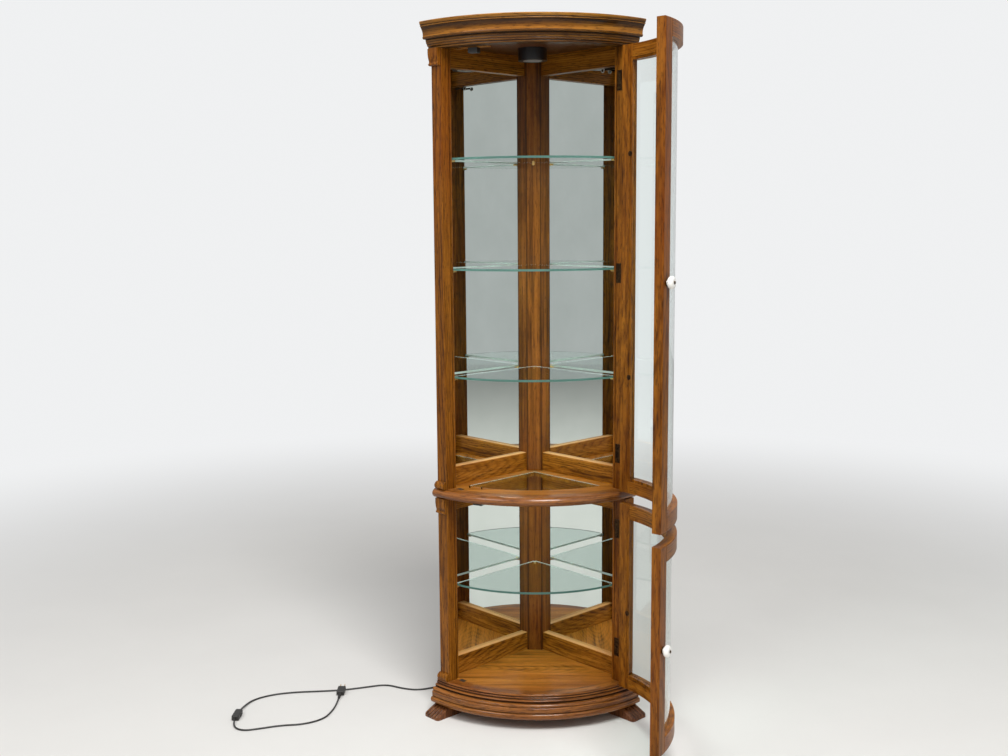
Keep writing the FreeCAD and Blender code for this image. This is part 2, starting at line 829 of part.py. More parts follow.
def hinge_middles(bottom, top, count):
    """The heights of a door's hinges: one near each end, and a third half way up a tall door."""
    ends = [bottom + hinge_bottom_offset, top - hinge_top_offset]
    return ends if count == 2 else ends + [(bottom + top) / 2]


def on_hinge_axis(radius, bottom, top):
    return upright_cylinder(radius, bottom, top, hinge_foot.x, hinge_foot.y)


def leaf(n_span, lip, middle, knuckles, bore):
    """A leaf on a post's face or a door's edge, turned down at the lip to its knuckles on the axis."""
    half = hinge_length / 2
    plate_end = post_outer - leaf_setback
    shape = wall_block(1, (plate_end - leaf_width, plate_end), n_span, (middle - half, middle + half))
    for low, high in knuckles:
        z = (middle + low, middle + high)
        shape = shape.fuse(wall_block(1, (plate_end, lip[1]), n_span, z))
        shape = shape.fuse(wall_block(1, lip, (hinge_axis_n, n_span[1]), z))
        shape = shape.fuse(on_hinge_axis(knuckle_radius, *z))
    shape = shape.cut(on_hinge_axis(bore, middle - half, middle + half))
    return shape.removeSplitter()


def make_hinges():
    half = hinge_length / 2
    inner = middle_knuckle / 2
    outer_pair = ((-half, -inner - knuckle_gap), (inner + knuckle_gap, half))
    post_span = (post_width, post_width + leaf_thickness)
    door_span = (door_edge - leaf_thickness, door_edge)
    near, far = hinge_axis_t - knuckle_radius, hinge_axis_t + knuckle_radius
    post_lip = (near, near + leaf_thickness)
    door_lip = (far - leaf_thickness, far)
    running_bore = hinge_pin_radius + hinge_pin_clearance
    frame_leaves = []
    pins = []
    doors = (("lower_door", base_top + door_gap, waist_bottom - door_gap, 2),
             ("upper_door", waist_top + door_gap, crown_bottom - door_gap, 3))
    for name, bottom, top, count in doors:
        door_leaves = []
        for middle in hinge_middles(bottom, top, count):
            frame_leaves.append(leaf(post_span, post_lip, middle, outer_pair, hinge_pin_radius))
            door_leaves.append(leaf(door_span, door_lip, middle, ((-inner, inner),), running_bore))
            pin = on_hinge_axis(hinge_pin_radius, middle - half, middle + half)
            for z in (middle - half - hinge_pin_head, middle + half):
                pin = pin.fuse(on_hinge_axis(hinge_pin_head_radius, z, z + hinge_pin_head))
            pins.append(pin.removeSplitter())
        export(name + "_hinge_leaves", *[opened(piece) for piece in door_leaves])
    export("hinge_post_leaves", *frame_leaves)
    export("hinge_pins", *pins)


# Catches ------------------------------------------------------------------------------------------

def make_catches():
    face = door_inner_radius - strike_seat - strike_thickness - catch_gap
    cleat = bow(face - cleat_width, face - catch_recess, ceiling - cleat_thickness, ceiling)
    export("catch_cleat", cleat.common(stile_band(-1, cleat_start, cleat_end, 0, cap_top)))
    upper_top = ceiling - cleat_thickness
    pieces = []
    for bottom, top in ((upper_top - catch_height, upper_top), (waist_bottom - catch_height, deck_bottom)):
        pieces.append(catch_block(face - catch_depth, face, catch_width, bottom, top))
    t_span = (plate_place - plate_depth / 2, plate_place + plate_depth / 2)
    middle = door_edge + stile_width / 2
    n_span = (middle - plate_width / 2, middle + plate_width / 2)
    for level in (base_top, waist_top):
        pieces.append(wall_block(-1, t_span, n_span, (level, level + plate_thickness)))
    export("door_catches", *pieces)


# Light and its lead -------------------------------------------------------------------------------

def path_tube(wire, radius):
    """A round tube swept along a wire of straight runs and arcs."""
    start = wire.Edges[0]
    way = start.tangentAt(start.FirstParameter)
    ring = Part.Wire(Part.makeCircle(radius, start.valueAt(start.FirstParameter), way))
    return wire.makePipeShell([ring], True, True)


def on_light_axis(radius, bottom, top):
    return upright_cylinder(radius, bottom, top, 0, -light_place)


def make_light():
    low, high = ceiling - light_height, ceiling
    cap = high - light_wall
    can = on_light_axis(light_radius, low, high)
    can = can.cut(on_light_axis(light_radius - light_wall, low + lens_thickness, cap))
    can = can.cut(on_light_axis(lens_radius + lens_play, low, low + lens_thickness))
    export("light_housing", can.cut(on_light_axis(cable_radius + cable_gap, cap, high)))
    export("light_lens", on_light_axis(lens_radius, low, low + lens_thickness))
    holder_bottom = cap - bulb_holder_height
    bulb = on_light_axis(bulb_holder_radius, holder_bottom, cap)
    bulb = bulb.fuse(on_light_axis(bulb_radius, cap - bulb_length, holder_bottom)).removeSplitter()
    export("light_bulb", bulb.cut(on_light_axis(cable_radius + cable_gap, holder_bottom, cap)))


def make_lead():
    """The lamp lead: up through the top panel, back over it, and down the chamfer to the floor."""
    y0, y1 = -light_place, back_chamfer + cable_radius + cable_gap
    z0, z1 = ceiling - light_wall - 6, ceiling + lead_rise
    r = lead_bend
    s = r * math.sqrt(0.5)
    corner = [Vector(0, y0, z0), Vector(0, y0, z1 - r), Vector(0, y0 + r, z1), Vector(0, y1 - r, z1),
              Vector(0, y1, z1 - r), Vector(0, y1, lead_end_height)]
    edges = [Part.makeLine(corner[0], corner[1]),
             Part.Arc(corner[1], Vector(0, y0 + r - s, z1 - r + s), corner[2]).toShape(),
             Part.makeLine(corner[2], corner[3]),
             Part.Arc(corner[3], Vector(0, y1 - r + s, z1 - r + s), corner[4]).toShape(),
             Part.makeLine(corner[4], corner[5])]
    export("light_lead", path_tube(Part.Wire(edges), cable_radius))
    clips = []
    for z in clip_heights:
        strap = upright_cylinder(cable_radius + clip_wall, z, z + clip_height, 0, y1)
        strap = strap.fuse(Part.makeBox(14, clip_wall, clip_height, Vector(-7, back_chamfer, z)))
        strap = strap.cut(upright_cylinder(cable_radius + 0.05, z, z + clip_height, 0, y1))
        strap = strap.cut(Part.makeBox(40, 20, clip_height, Vector(-20, back_chamfer - 20, z)))
        clips.append(strap.removeSplitter())
    export("lead_clips", *clips)


# Free cord, switch and plug -----------------------------------------------------------------------

def cord(name, points):
    """A tube along straight runs, joined by arcs tangent to both."""
    stops = [Vector(*p) for p in points]
    edges = []
    radii = []
    here = stops[0]
    for before, corner, after in zip(stops, stops[1:], stops[2:]):
        back, ahead = before - corner, after - corner
        half_turn = (math.pi - back.getAngle(ahead)) / 2
        cut = 0.45 * min(back.Length, ahead.Length)
        radii.append(cut / math.tan(half_turn))
        back.normalize()
        ahead.normalize()
        enter, leave = corner + back * cut, corner + ahead * cut
        centre = corner + (back + ahead).normalize() * (radii[-1] / math.cos(half_turn))
        through = centre + (corner - centre).normalize() * radii[-1]
        edges += [Part.makeLine(here, enter), Part.Arc(enter, through, leave).toShape()]
        here = leave
    edges.append(Part.makeLine(here, stops[-1]))
    wire = Part.Wire(edges)
    tube = path_tube(wire, cable_radius)
    section = math.pi * cable_radius ** 2
    print(name, "radii", [round(r) for r in radii], "length", round(wire.Length),
          "volume ratio", round(tube.Volume / (section * wire.Length), 4))
    export(name, tube)


def make_switch():
    """The roller switch: a rounded body with a thumbwheel through its side, on an upright axle."""
    enter, leave = Vector(*switch_route[-1]), Vector(*plug_route[0])
    middle = (enter + leave) * 0.5
    body = Part.makeBox(switch_width, switch_length, switch_height,
                        Vector(middle.x - switch_width / 2, middle.y - switch_length / 2, 0))
    body = body.makeFillet(switch_rounding, body.Edges)
    x, y, z = middle.x + wheel_offset, middle.y, middle.z - wheel_thickness / 2
    z0, z1 = z - wheel_gap, z + wheel_thickness + wheel_gap
    room = upright_cylinder(wheel_radius + wheel_gap, z0, z1, x, y)
    axle = upright_cylinder(axle_radius, z0, z1, x, y)
    export("switch_body", body.cut(room).fuse(axle).removeSplitter())
    wheel = upright_cylinder(wheel_radius, z, z + wheel_thickness, x, y)
    for i in range(wheel_ridges):
        a = 2 * math.pi * i / wheel_ridges
        rim_x, rim_y = x + wheel_radius * math.cos(a), y + wheel_radius * math.sin(a)
        wheel = wheel.cut(upright_cylinder(wheel_groove, z, z + wheel_thickness, rim_x, rim_y))
    bore = upright_cylinder(axle_radius + axle_clearance, z, z + wheel_thickness, x, y)
    export("switch_wheel", wheel.cut(bore))


def make_plug():
    """The flat two-blade plug, drawn along +Y and tipped up, because it lies over its own cord."""
    forward = Vector(0, 1, 0)
    relief = Part.makeCone(relief_radius, relief_end_radius, relief_length, Vector(0, 0, 0), forward)
    for i in range(relief_grooves):
        start = Vector(0, (i + 1) * relief_groove_pitch, 0)
        ring = Part.makeCylinder(2 * relief_end_radius, relief_groove_width, start, forward)
        core = Part.makeCylinder(relief_radius - relief_groove_depth, relief_groove_width, start, forward)
        relief = relief.cut(ring.cut(core))
    corner = Vector(-plug_width / 2, relief_length, -plug_height / 2)
    body = Part.makeBox(plug_width, plug_length, plug_height, corner)
    plug = relief.fuse(body.makeFillet(plug_rounding, body.Edges))
    nose = relief_length + plug_length
    blades = []
    for side in (-1, 1):
        x = side * blade_spacing / 2 - blade_thickness / 2
        corner = Vector(x, nose - blade_seat, -blade_width / 2)
        plug = plug.cut(Part.makeBox(blade_thickness, blade_seat, blade_width, corner))
        blade = Part.makeBox(blade_thickness, blade_seat + blade_length, blade_width, corner)
        tip = []
        for edge in blade.Edges:
            at_tip = abs(edge.CenterOfMass.y - nose - blade_length) < 1e-3
            if at_tip and abs(edge.Length - blade_thickness) < 1e-3:
                tip.append(edge)
        blades.append(blade.makeFillet(blade_rounding, tip))
    plug = plug.removeSplitter()
    for piece in [plug] + blades:
        piece.Placement = Placement(Vector(*plug_route[-1]), Rotation(Vector(1, 0, 0), plug_tilt))
    export("plug_body", plug)
    export("plug_blades", *blades)


os.makedirs("parts", exist_ok=True)
make_posts()
make_pins()
make_walls()
make_rails()
make_base()
make_waist()
make_crown()
make_blocks()
make_feet()
make_shelves()
make_doors()
make_hinges()
make_catches()
make_light()
make_lead()
cord("cord_to_switch", switch_route)
cord("cord_to_plug", plug_route)
make_switch()
make_plug()
print("solids", solids_written, "nodes", len(os.listdir("parts")))
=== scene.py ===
import bpy
import math
from mathutils import Matrix, Vector


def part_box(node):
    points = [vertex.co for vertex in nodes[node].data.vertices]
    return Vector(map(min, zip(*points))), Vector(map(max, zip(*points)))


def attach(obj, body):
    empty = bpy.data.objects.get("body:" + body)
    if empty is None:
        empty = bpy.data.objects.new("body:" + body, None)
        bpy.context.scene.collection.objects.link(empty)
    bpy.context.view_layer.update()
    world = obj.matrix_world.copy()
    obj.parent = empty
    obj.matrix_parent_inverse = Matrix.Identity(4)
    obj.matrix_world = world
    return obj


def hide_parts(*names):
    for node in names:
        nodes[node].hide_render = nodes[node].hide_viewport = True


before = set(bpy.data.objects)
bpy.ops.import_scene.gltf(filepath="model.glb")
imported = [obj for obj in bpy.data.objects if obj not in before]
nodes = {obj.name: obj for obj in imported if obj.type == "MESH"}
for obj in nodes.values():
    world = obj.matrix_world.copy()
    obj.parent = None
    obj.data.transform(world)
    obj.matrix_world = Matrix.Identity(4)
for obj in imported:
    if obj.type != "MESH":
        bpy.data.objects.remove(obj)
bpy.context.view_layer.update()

# The camera stands at chest height about 3.2 m in front of the cabinet, a little right of its
# middle, and looks slightly down at it.
bpy.ops.object.camera_add()
camera = bpy.context.object
camera.name = "camera"
eye = (0.01575, -3.59466, 1.44498)
forward = Vector((-0.030101, 0.990468, -0.134417)).normalized()
across = Vector((0.999541, 0.029364, -0.007465)).normalized()
upward = across.cross(forward)
turned = Matrix((across, upward, -forward)).transposed().to_4x4()
camera.matrix_world = Matrix.Translation(eye) @ turned
camera.data.sensor_width = 36.0
camera.data.lens = 41.935
camera.data.clip_end = 60.0
bpy.context.scene.camera = camera
bpy.context.scene.view_settings.view_transform = "Standard"


# The lamp's cord: black PVC over two cores, 5 mm across. It comes down behind the cabinet, lies in
# a loose line across the floor to the inline switch, and turns back from there to the plug.
def linear(code):
    """Linear RGBA of an sRGB hex colour."""
    parts = [int(code[i:i + 2], 16) / 255 for i in (1, 3, 5)]
    return [c / 12.92 if c <= 0.04045 else ((c + 0.055) / 1.055) ** 2.4 for c in parts] + [1.0]


def add(tree, kind, settings=(), links=()):
    """A node with its settings, each a property or an input, and the sockets that feed its inputs."""
    node = tree.nodes.new("ShaderNode" + kind)
    for key, value in dict(settings).items():
        if isinstance(key, str) and hasattr(node, key):
            setattr(node, key, value)
        else:
            node.inputs[key].default_value = value
    for key, source in dict(links).items():
        tree.links.new(source, node.inputs[key])
    return node


def new_material(name):
    """An empty material with its tree, its object coordinates and its output node."""
    made = bpy.data.materials.new(name)
    made.use_nodes = True
    tree = made.node_tree
    tree.nodes.clear()
    place = add(tree, "TexCoord").outputs["Object"]
    return made, tree, place, add(tree, "OutputMaterial")


def dress(material, *names):
    """Gives CAD nodes a material in place of their plain one."""
    for name in names:
        for slot in nodes[name].material_slots:
            slot.material = material


# Extruded PVC: satin black, with a faint drag in the skin that changes every 2 mm or so
cord_pvc, tree, place, out = new_material("cord_pvc")
drag = add(tree, "TexNoise", {"Scale": 420.0, "Detail": 3.0}, {"Vector": place})
shade = add(tree, "ValToRGB", {}, {"Fac": drag.outputs["Fac"]})
shade.color_ramp.elements[0].color = linear("#141312")
shade.color_ramp.elements[1].color = linear("#2B2926")
gloss = add(tree, "MapRange", {"To Min": 0.34, "To Max": 0.52}, {"Value": drag.outputs["Fac"]})
skin = add(tree, "Bump", {"Strength": 0.15, "Distance": 0.0003}, {"Height": drag.outputs["Fac"]})
pvc = add(tree, "BsdfPrincipled", {"IOR": 1.53},
          {"Base Color": shade.outputs["Color"], "Roughness": gloss.outputs["Result"],
           "Normal": skin.outputs["Normal"]})
tree.links.new(pvc.outputs["BSDF"], out.inputs["Surface"])


cord_radius = 0.0025


def lay_cord(name, route):
    """A round cord along a smooth line, with its route's points as control points."""
    line = bpy.data.curves.new(name, "CURVE")
    line.dimensions = "3D"
    line.bevel_depth = cord_radius
    line.bevel_resolution = 5
    line.resolution_u = 14
    line.use_fill_caps = True
    spline = line.splines.new("NURBS")
    spline.points.add(len(route) - 1)
    for point, at in zip(spline.points, route):
        point.co = (*at, 1.0)
    spline.order_u = 3
    spline.use_endpoint_u = True
    line.materials.append(cord_pvc)
    made = bpy.data.objects.new(name, line)
    bpy.context.collection.objects.link(made)
    return made


switch_route = [
    (0, 0.0047, 0.062), (0, 0.0047, 0.0026), (-0.055, 0.033, 0.0026), (-0.122, 0.024, 0.0026),
    (-0.184, -0.012, 0.0026), (-0.236, -0.062, 0.0026), (-0.298, -0.104, 0.0026),
    (-0.358, -0.136, 0.0026), (-0.412, -0.124, 0.0026), (-0.466, -0.092, 0.0026),
    (-0.530, -0.116, 0.0026), (-0.598, -0.139, 0.0026), (-0.668, -0.149, 0.0026),
    (-0.738, -0.156, 0.0026), (-0.802, -0.174, 0.0026), (-0.852, -0.210, 0.0026),
    (-0.871, -0.262, 0.005), (-0.874, -0.312, 0.0085),
]
plug_route = [
    (-0.874, -0.364, 0.0085), (-0.871, -0.406, 0.0042), (-0.836, -0.434, 0.0026),
    (-0.788, -0.418, 0.0026), (-0.733, -0.396, 0.0026), (-0.668, -0.388, 0.0026),
    (-0.616, -0.350, 0.0026), (-0.601, -0.292, 0.0026), (-0.597, -0.2408, 0.0026),
    (-0.597, -0.205, 0.00605),
]
long_cord = lay_cord("lamp_cord", switch_route)
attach(long_cord, "cabinet")
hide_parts("cord_to_switch")
short_cord = lay_cord("plug_cord", plug_route)
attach(short_cord, "cabinet")
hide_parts("cord_to_plug")
dress(cord_pvc, "light_lead")

# Switch, plug, clips and catches: moulded shells of black ABS, with a ribbed wheel in the switch.
# The mould left them a little rough, with a 1 mm spark grain, so they are duller than the cord.
black_abs, tree, place, out = new_material("black_abs")
spark = add(tree, "TexNoise", {"Scale": 900.0, "Detail": 2.0}, {"Vector": place})
scuff = add(tree, "TexNoise", {"Scale": 60.0, "Detail": 5.0}, {"Vector": place})
shade = add(tree, "ValToRGB", {}, {"Fac": scuff.outputs["Fac"]})
shade.color_ramp.elements[0].color = linear("#161514")
shade.color_ramp.elements[1].color = linear("#302E2B")
gloss = add(tree, "MapRange", {"To Min": 0.38, "To Max": 0.6}, {"Value": scuff.outputs["Fac"]})
skin = add(tree, "Bump", {"Strength": 0.25, "Distance": 0.0002}, {"Height": spark.outputs["Fac"]})
abs_shell = add(tree, "BsdfPrincipled", {"IOR": 1.53},
                {"Base Color": shade.outputs["Color"], "Roughness": gloss.outputs["Result"],
                 "Normal": skin.outputs["Normal"]})
tree.links.new(abs_shell.outputs["BSDF"], out.inputs["Surface"])
dress(black_abs, "switch_body", "switch_wheel", "plug_body", "lead_clips", "door_catches")

# Oak frame: red oak boards, stained honey brown, with a satin lacquer that has filled the pores only
# partly. Posts and stiles are cut with the grain upright, and rails with it along their length.
half_root = math.sqrt(0.5)
case_radius = 0.4                     # the bow along which the case's mouldings run
door_middle = (-0.0202, -0.5949, 0.0)
door_radius = 0.38

# How often each pattern changes in a metre, along the grain and across it
swell_scale = (2.2, 13.0, 13.0)       # bends of the trunk, 450 by 77 mm
pore_scale = (38.0, 330.0, 330.0)     # flecks of open pores, 26 by 3 mm
fibre_scale = (9.0, 260.0, 260.0)     # fine streaks, 110 by 4 mm
stripe_scale = (2.4, 62.0, 62.0)      # broad streaks, 420 by 16 mm
patch_scale = (1.7, 9.0, 9.0)         # redder patches, 590 by 110 mm
trunk_bend = 0.03                     # how far the bends push the rings
heart_sway = 3.1                      # radians of the heart's sway in a metre
face_slant = 0.35                     # share of the depth that shifts an upright board's grain
wall_shift = (3.3, 0.011)             # sets the two walls' grain apart, along and across
pore_brown = "#2C1504"


def lay_grain(tree, place, lie):
    """Coordinates along the grain, over the board's face and into the board, for a lie: upright,
    wall, bow (about the corner line), door (about the open doors' own middle) or board."""
    x, y, z = add(tree, "SeparateXYZ", {}, {0: place}).outputs
    if lie == "upright":
        over = add(tree, "Math", {"operation": "MULTIPLY_ADD", 1: face_slant}, {0: y, 2: x})
        return z, over.outputs[0], y
    if lie == "wall":
        # Both walls are folded on one line, and shifted so that their rails differ
        side = add(tree, "Math", {"operation": "SIGN"}, {0: x})
        out_x = add(tree, "Math", {"operation": "ABSOLUTE"}, {0: x})
        folded = add(tree, "CombineXYZ", {}, {0: out_x.outputs[0], 1: y})
        run = add(tree, "VectorMath", {"operation": "DOT_PRODUCT", 1: (half_root, -half_root, 0)},
                  {0: folded.outputs[0]})
        depth = add(tree, "VectorMath", {"operation": "DOT_PRODUCT", 1: (-half_root, -half_root, 0)},
                    {0: folded.outputs[0]})
        along = add(tree, "Math", {"operation": "MULTIPLY_ADD", 1: wall_shift[0]},
                    {0: side.outputs[0], 2: run.outputs["Value"]})
        over = add(tree, "Math", {"operation": "MULTIPLY_ADD", 1: wall_shift[1]},
                   {0: side.outputs[0], 2: z})
        return along.outputs[0], over.outputs[0], depth.outputs["Value"]
    if lie in ("bow", "door"):
        middle, radius = ((0, 0, 0), case_radius) if lie == "bow" else (door_middle, door_radius)
        spoke = add(tree, "VectorMath", {"operation": "SUBTRACT", 1: middle}, {0: place})
        level = add(tree, "VectorMath", {"operation": "MULTIPLY", 1: (1, 1, 0)}, {0: spoke.outputs[0]})
        depth = add(tree, "VectorMath", {"operation": "LENGTH"}, {0: level.outputs[0]})
        from_x, from_y, _ = add(tree, "SeparateXYZ", {}, {0: level.outputs[0]}).outputs
        if lie == "bow":
            ahead = add(tree, "Math", {"operation": "MULTIPLY", 1: -1.0}, {0: from_y})
            turn = add(tree, "Math", {"operation": "ARCTAN2"}, {0: from_x, 1: ahead.outputs[0]})
        else:
            turn = add(tree, "Math", {"operation": "ARCTAN2"}, {0: from_y, 1: from_x})
        along = add(tree, "Math", {"operation": "MULTIPLY", 1: radius}, {0: turn.outputs[0]})
        return along.outputs[0], z, depth.outputs["Value"]
    return x, y, z


def oak(name, lie, light="#9C6119", mid="#74430B", dark="#3C1E04", warm="#753409", groove_stain_and_shade="#241104",
        tilt=0.03, middle=0.0, deep=0.05, ring=0.005, figure=0.3, pore=0.62, nook=0.010,
        shine=0.12, sheen=0.06, painted_top_light=None, arris=None, glaze_and_light_bands=()):
    """Oak whose grain follows a lie. light, mid and dark are its tones, warm that of its redder
    patches and groove_stain_and_shade the dark tone painted in its grooves and corners, for the stain there
    and for painted shade, which reaches nook far. tilt, middle and deep
    place the heart of the tree against the board, so that its rings draw straight lines or arches,
    and figure says how strongly they show. painted_top_light is a paler tone painted on upward faces as
    painted top light, and arris the distance from the middle of two dark upright lines.
    glaze_and_light_bands gives tones by height on mouldings, a brown glaze in their grooves with painted
    highlights and painted shade on their bands: heights, each with the share of the tone kept."""
    made, tree, place, out = new_material(name)
    along, over, depth = lay_grain(tree, place, lie)
    grain = add(tree, "CombineXYZ", {}, {0: along, 1: over, 2: depth}).outputs[0]

    # Growth rings about the heart, which sways along the board, bent by slow swells of the trunk
    swell_place = add(tree, "Mapping", {"Scale": swell_scale}, {"Vector": grain})
    swell = add(tree, "TexNoise", {"Scale": 1.0, "Detail": 3.0, "Roughness": 0.55},
                {"Vector": swell_place.outputs[0]})
    bend = add(tree, "Math", {"operation": "MULTIPLY_ADD", 1: trunk_bend, 2: -trunk_bend / 2},
               {0: swell.outputs["Fac"]})
    side_way = add(tree, "Math", {"operation": "SUBTRACT", 1: middle}, {0: over})
    sway = add(tree, "Math", {"operation": "MULTIPLY", 1: heart_sway}, {0: along})
    wave = add(tree, "Math", {"operation": "SINE"}, {0: sway.outputs[0]})
    deep_way = add(tree, "Math", {"operation": "MULTIPLY_ADD", 1: tilt, 2: deep}, {0: wave.outputs[0]})
    heart_way = add(tree, "CombineXYZ", {}, {0: side_way.outputs[0], 1: deep_way.outputs[0]})
    straight = add(tree, "VectorMath", {"operation": "LENGTH"}, {0: heart_way.outputs[0]})
    from_heart = add(tree, "Math", {"operation": "ADD"},
                     {0: straight.outputs["Value"], 1: bend.outputs[0]})
    years = add(tree, "Math", {"operation": "DIVIDE", 1: ring}, {0: from_heart.outputs[0]})
    season = add(tree, "Math", {"operation": "FRACT"}, {0: years.outputs[0]})
    band = add(tree, "ValToRGB", {}, {"Fac": season.outputs[0]})
    band.color_ramp.elements[0].color = (0.3, 0.3, 0.3, 1)
    band.color_ramp.elements[1].color = (0.3, 0.3, 0.3, 1)
    for at, level in ((0.1, 0.0), (0.26, 0.25), (0.45, 0.8), (0.72, 1.0), (0.93, 0.75)):
        band.color_ramp.elements.new(at).color = (level, level, level, 1)

    # Open pores: short dark dashes along the grain, gathered in flecks
    pore_place = add(tree, "Mapping", {"Scale": pore_scale}, {"Vector": grain})
    pores = add(tree, "TexNoise", {"Scale": 1.0, "Detail": 3.0, "Roughness": 0.65},
                {"Vector": pore_place.outputs[0]})
    dash = add(tree, "MapRange", {"From Min": 0.53, "From Max": 0.62}, {"Value": pores.outputs["Fac"]})
    dash_tone = add(tree, "Math", {"operation": "MULTIPLY", 1: pore}, {0: dash.outputs["Result"]})

    # Fine and broad streaks of the fibres
    fibre_place = add(tree, "Mapping", {"Scale": fibre_scale}, {"Vector": grain})
    fibre = add(tree, "TexNoise", {"Scale": 1.0, "Detail": 4.0}, {"Vector": fibre_place.outputs[0]})
    streak = add(tree, "MapRange", {"From Min": 0.3, "From Max": 0.7}, {"Value": fibre.outputs["Fac"]})
    broad_place = add(tree, "Mapping", {"Scale": stripe_scale}, {"Vector": grain})
    broad = add(tree, "TexNoise", {"Scale": 1.0, "Detail": 3.0}, {"Vector": broad_place.outputs[0]})
    stripe = add(tree, "MapRange", {"From Min": 0.32, "From Max": 0.68}, {"Value": broad.outputs["Fac"]})
    both = add(tree, "Math", {"operation": "ADD"},
               {0: streak.outputs["Result"], 1: stripe.outputs["Result"]})
    plain = add(tree, "Math", {"operation": "MULTIPLY", 1: 0.5 * (1 - figure)}, {0: both.outputs[0]})
    tone = add(tree, "Math", {"operation": "MULTIPLY_ADD", 1: figure},
               {0: band.outputs["Color"], 2: plain.outputs[0]})

    # Stain: honey where the wood is dense, brown in the pores, and redder in broad patches
    wood = add(tree, "ValToRGB", {}, {"Fac": tone.outputs[0]})
    wood.color_ramp.elements[0].position = 0.12
    wood.color_ramp.elements[0].color = linear(dark)
    wood.color_ramp.elements[1].position = 0.9
    wood.color_ramp.elements[1].color = linear(light)
    wood.color_ramp.elements.new(0.46).color = linear(mid)
    patch_place = add(tree, "Mapping", {"Scale": patch_scale}, {"Vector": grain})
    patch = add(tree, "TexNoise", {"Scale": 1.0, "Detail": 2.0}, {"Vector": patch_place.outputs[0]})
    rosy = add(tree, "MapRange", {"From Min": 0.45, "From Max": 0.75, "To Max": 0.5},
               {"Value": patch.outputs["Fac"]})
    redder = add(tree, "MixRGB", {"Color2": linear(warm)},
                 {"Fac": rosy.outputs["Result"], "Color1": wood.outputs[0]})
    pored = add(tree, "MixRGB", {"Color2": linear(pore_brown)},
                {"Fac": dash_tone.outputs[0], "Color1": redder.outputs[0]})

    # Painted shade in grooves and corners from an occlusion mask, also standing for the stain there,
    # painted top light on upward faces, and dark lines along two upright edges
    occlusion_shade = add(tree, "AmbientOcclusion", {"samples": 8, "only_local": True, "Distance": nook})
    painted_groove_shade = add(tree, "MapRange", {"From Min": 0.93, "From Max": 0.5, "To Max": 0.96},
                  {"Value": occlusion_shade.outputs["AO"]})
    stain_and_painted_light = add(tree, "MixRGB", {"Color2": linear(groove_stain_and_shade)},
               {"Fac": painted_groove_shade.outputs["Result"], "Color1": pored.outputs[0]})
    # Painted top light: upward faces get a paler tone, for the light that falls on them from above
    if painted_top_light:
        facing = add(tree, "SeparateXYZ", {}, {0: add(tree, "NewGeometry").outputs["Normal"]})
        level = add(tree, "MapRange", {"From Min": 0.3, "From Max": 0.6, "To Max": 0.8},
                    {"Value": facing.outputs[2]})
        stain_and_painted_light = add(tree, "MixRGB", {"Color2": linear(painted_top_light)},
                   {"Fac": level.outputs["Result"], "Color1": stain_and_painted_light.outputs[0]})
    if arris:
        x = add(tree, "SeparateXYZ", {}, {0: place}).outputs[0]
        from_middle = add(tree, "Math", {"operation": "ABSOLUTE"}, {0: x})
        past_edge = add(tree, "Math", {"operation": "SUBTRACT", 1: arris}, {0: from_middle.outputs[0]})
        off_edge = add(tree, "Math", {"operation": "ABSOLUTE"}, {0: past_edge.outputs[0]})
        line = add(tree, "MapRange",
                   {"From Min": 0.0012, "From Max": 0.0028, "To Min": 0.75, "To Max": 0.0},
                   {"Value": off_edge.outputs[0]})
        stain_and_painted_light = add(tree, "MixRGB", {"Color2": linear(groove_stain_and_shade)},
                   {"Fac": line.outputs["Result"], "Color1": stain_and_painted_light.outputs[0]})
    # Painted highlights and painted shade by height along the profile, with a brown glaze in its grooves
    if glaze_and_light_bands:
        # The ramp holds half of each share, so that its tones lie between 0 and 1
        bottom, top = glaze_and_light_bands[0][0], glaze_and_light_bands[-1][0]
        z = add(tree, "SeparateXYZ", {}, {0: place}).outputs[2]
        height = add(tree, "MapRange", {"From Min": bottom, "From Max": top}, {"Value": z})
        glaze_and_light_tone = add(tree, "ValToRGB", {}, {"Fac": height.outputs["Result"]})
        for at, _ in glaze_and_light_bands[1:-1]:
            glaze_and_light_tone.color_ramp.elements.new((at - bottom) / (top - bottom))
        for stop, (_, share) in zip(glaze_and_light_tone.color_ramp.elements, glaze_and_light_bands):
            stop.color = (share / 2, share / 2, share / 2, 1)
        full = add(tree, "VectorMath", {"operation": "SCALE", "Scale": 2.0}, {0: glaze_and_light_tone.outputs[0]})
        stain_and_painted_light = add(tree, "VectorMath", {"operation": "MULTIPLY"},
                   {0: stain_and_painted_light.outputs[0], 1: full.outputs[0]})

    gloss = add(tree, "MapRange", {"To Min": 0.28, "To Max": 0.44}, {"Value": fibre.outputs["Fac"]})
    skin = add(tree, "Bump", {"Strength": 0.22, "Distance": 0.0004, "invert": True},
               {"Height": dash.outputs["Result"]})
    lacquer = add(tree, "BsdfPrincipled",
                  {"IOR": 1.5, "Specular IOR Level": shine, "Coat Weight": sheen,
                   "Coat Roughness": 0.13},
                  {"Base Color": stain_and_painted_light.outputs[0], "Roughness": gloss.outputs["Result"],
                   "Normal": skin.outputs["Normal"]})
    tree.links.new(lacquer.outputs["BSDF"], out.inputs["Surface"])
    return made


dress(oak("oak_upright", "upright", deep=0.35, middle=0.08, tilt=0.01),
      "post_left", "post_right", "corbels", "post_pads", "upper_door_glass_stops",
      "lower_door_glass_stops")
dress(oak("oak_stile", "upright", deep=0.42, middle=-0.05, tilt=0.012),
      "upper_door_hinge_stile", "upper_door_lock_stile", "lower_door_hinge_stile",
      "lower_door_lock_stile")
dress(oak("oak_corner", "upright", light="#8A521C", mid="#683B10", dark="#3A1D07",
          deep=0.6, middle=0.02, tilt=0.01, figure=0.08, pore=0.45, arris=0.0209),
      "corner_post")
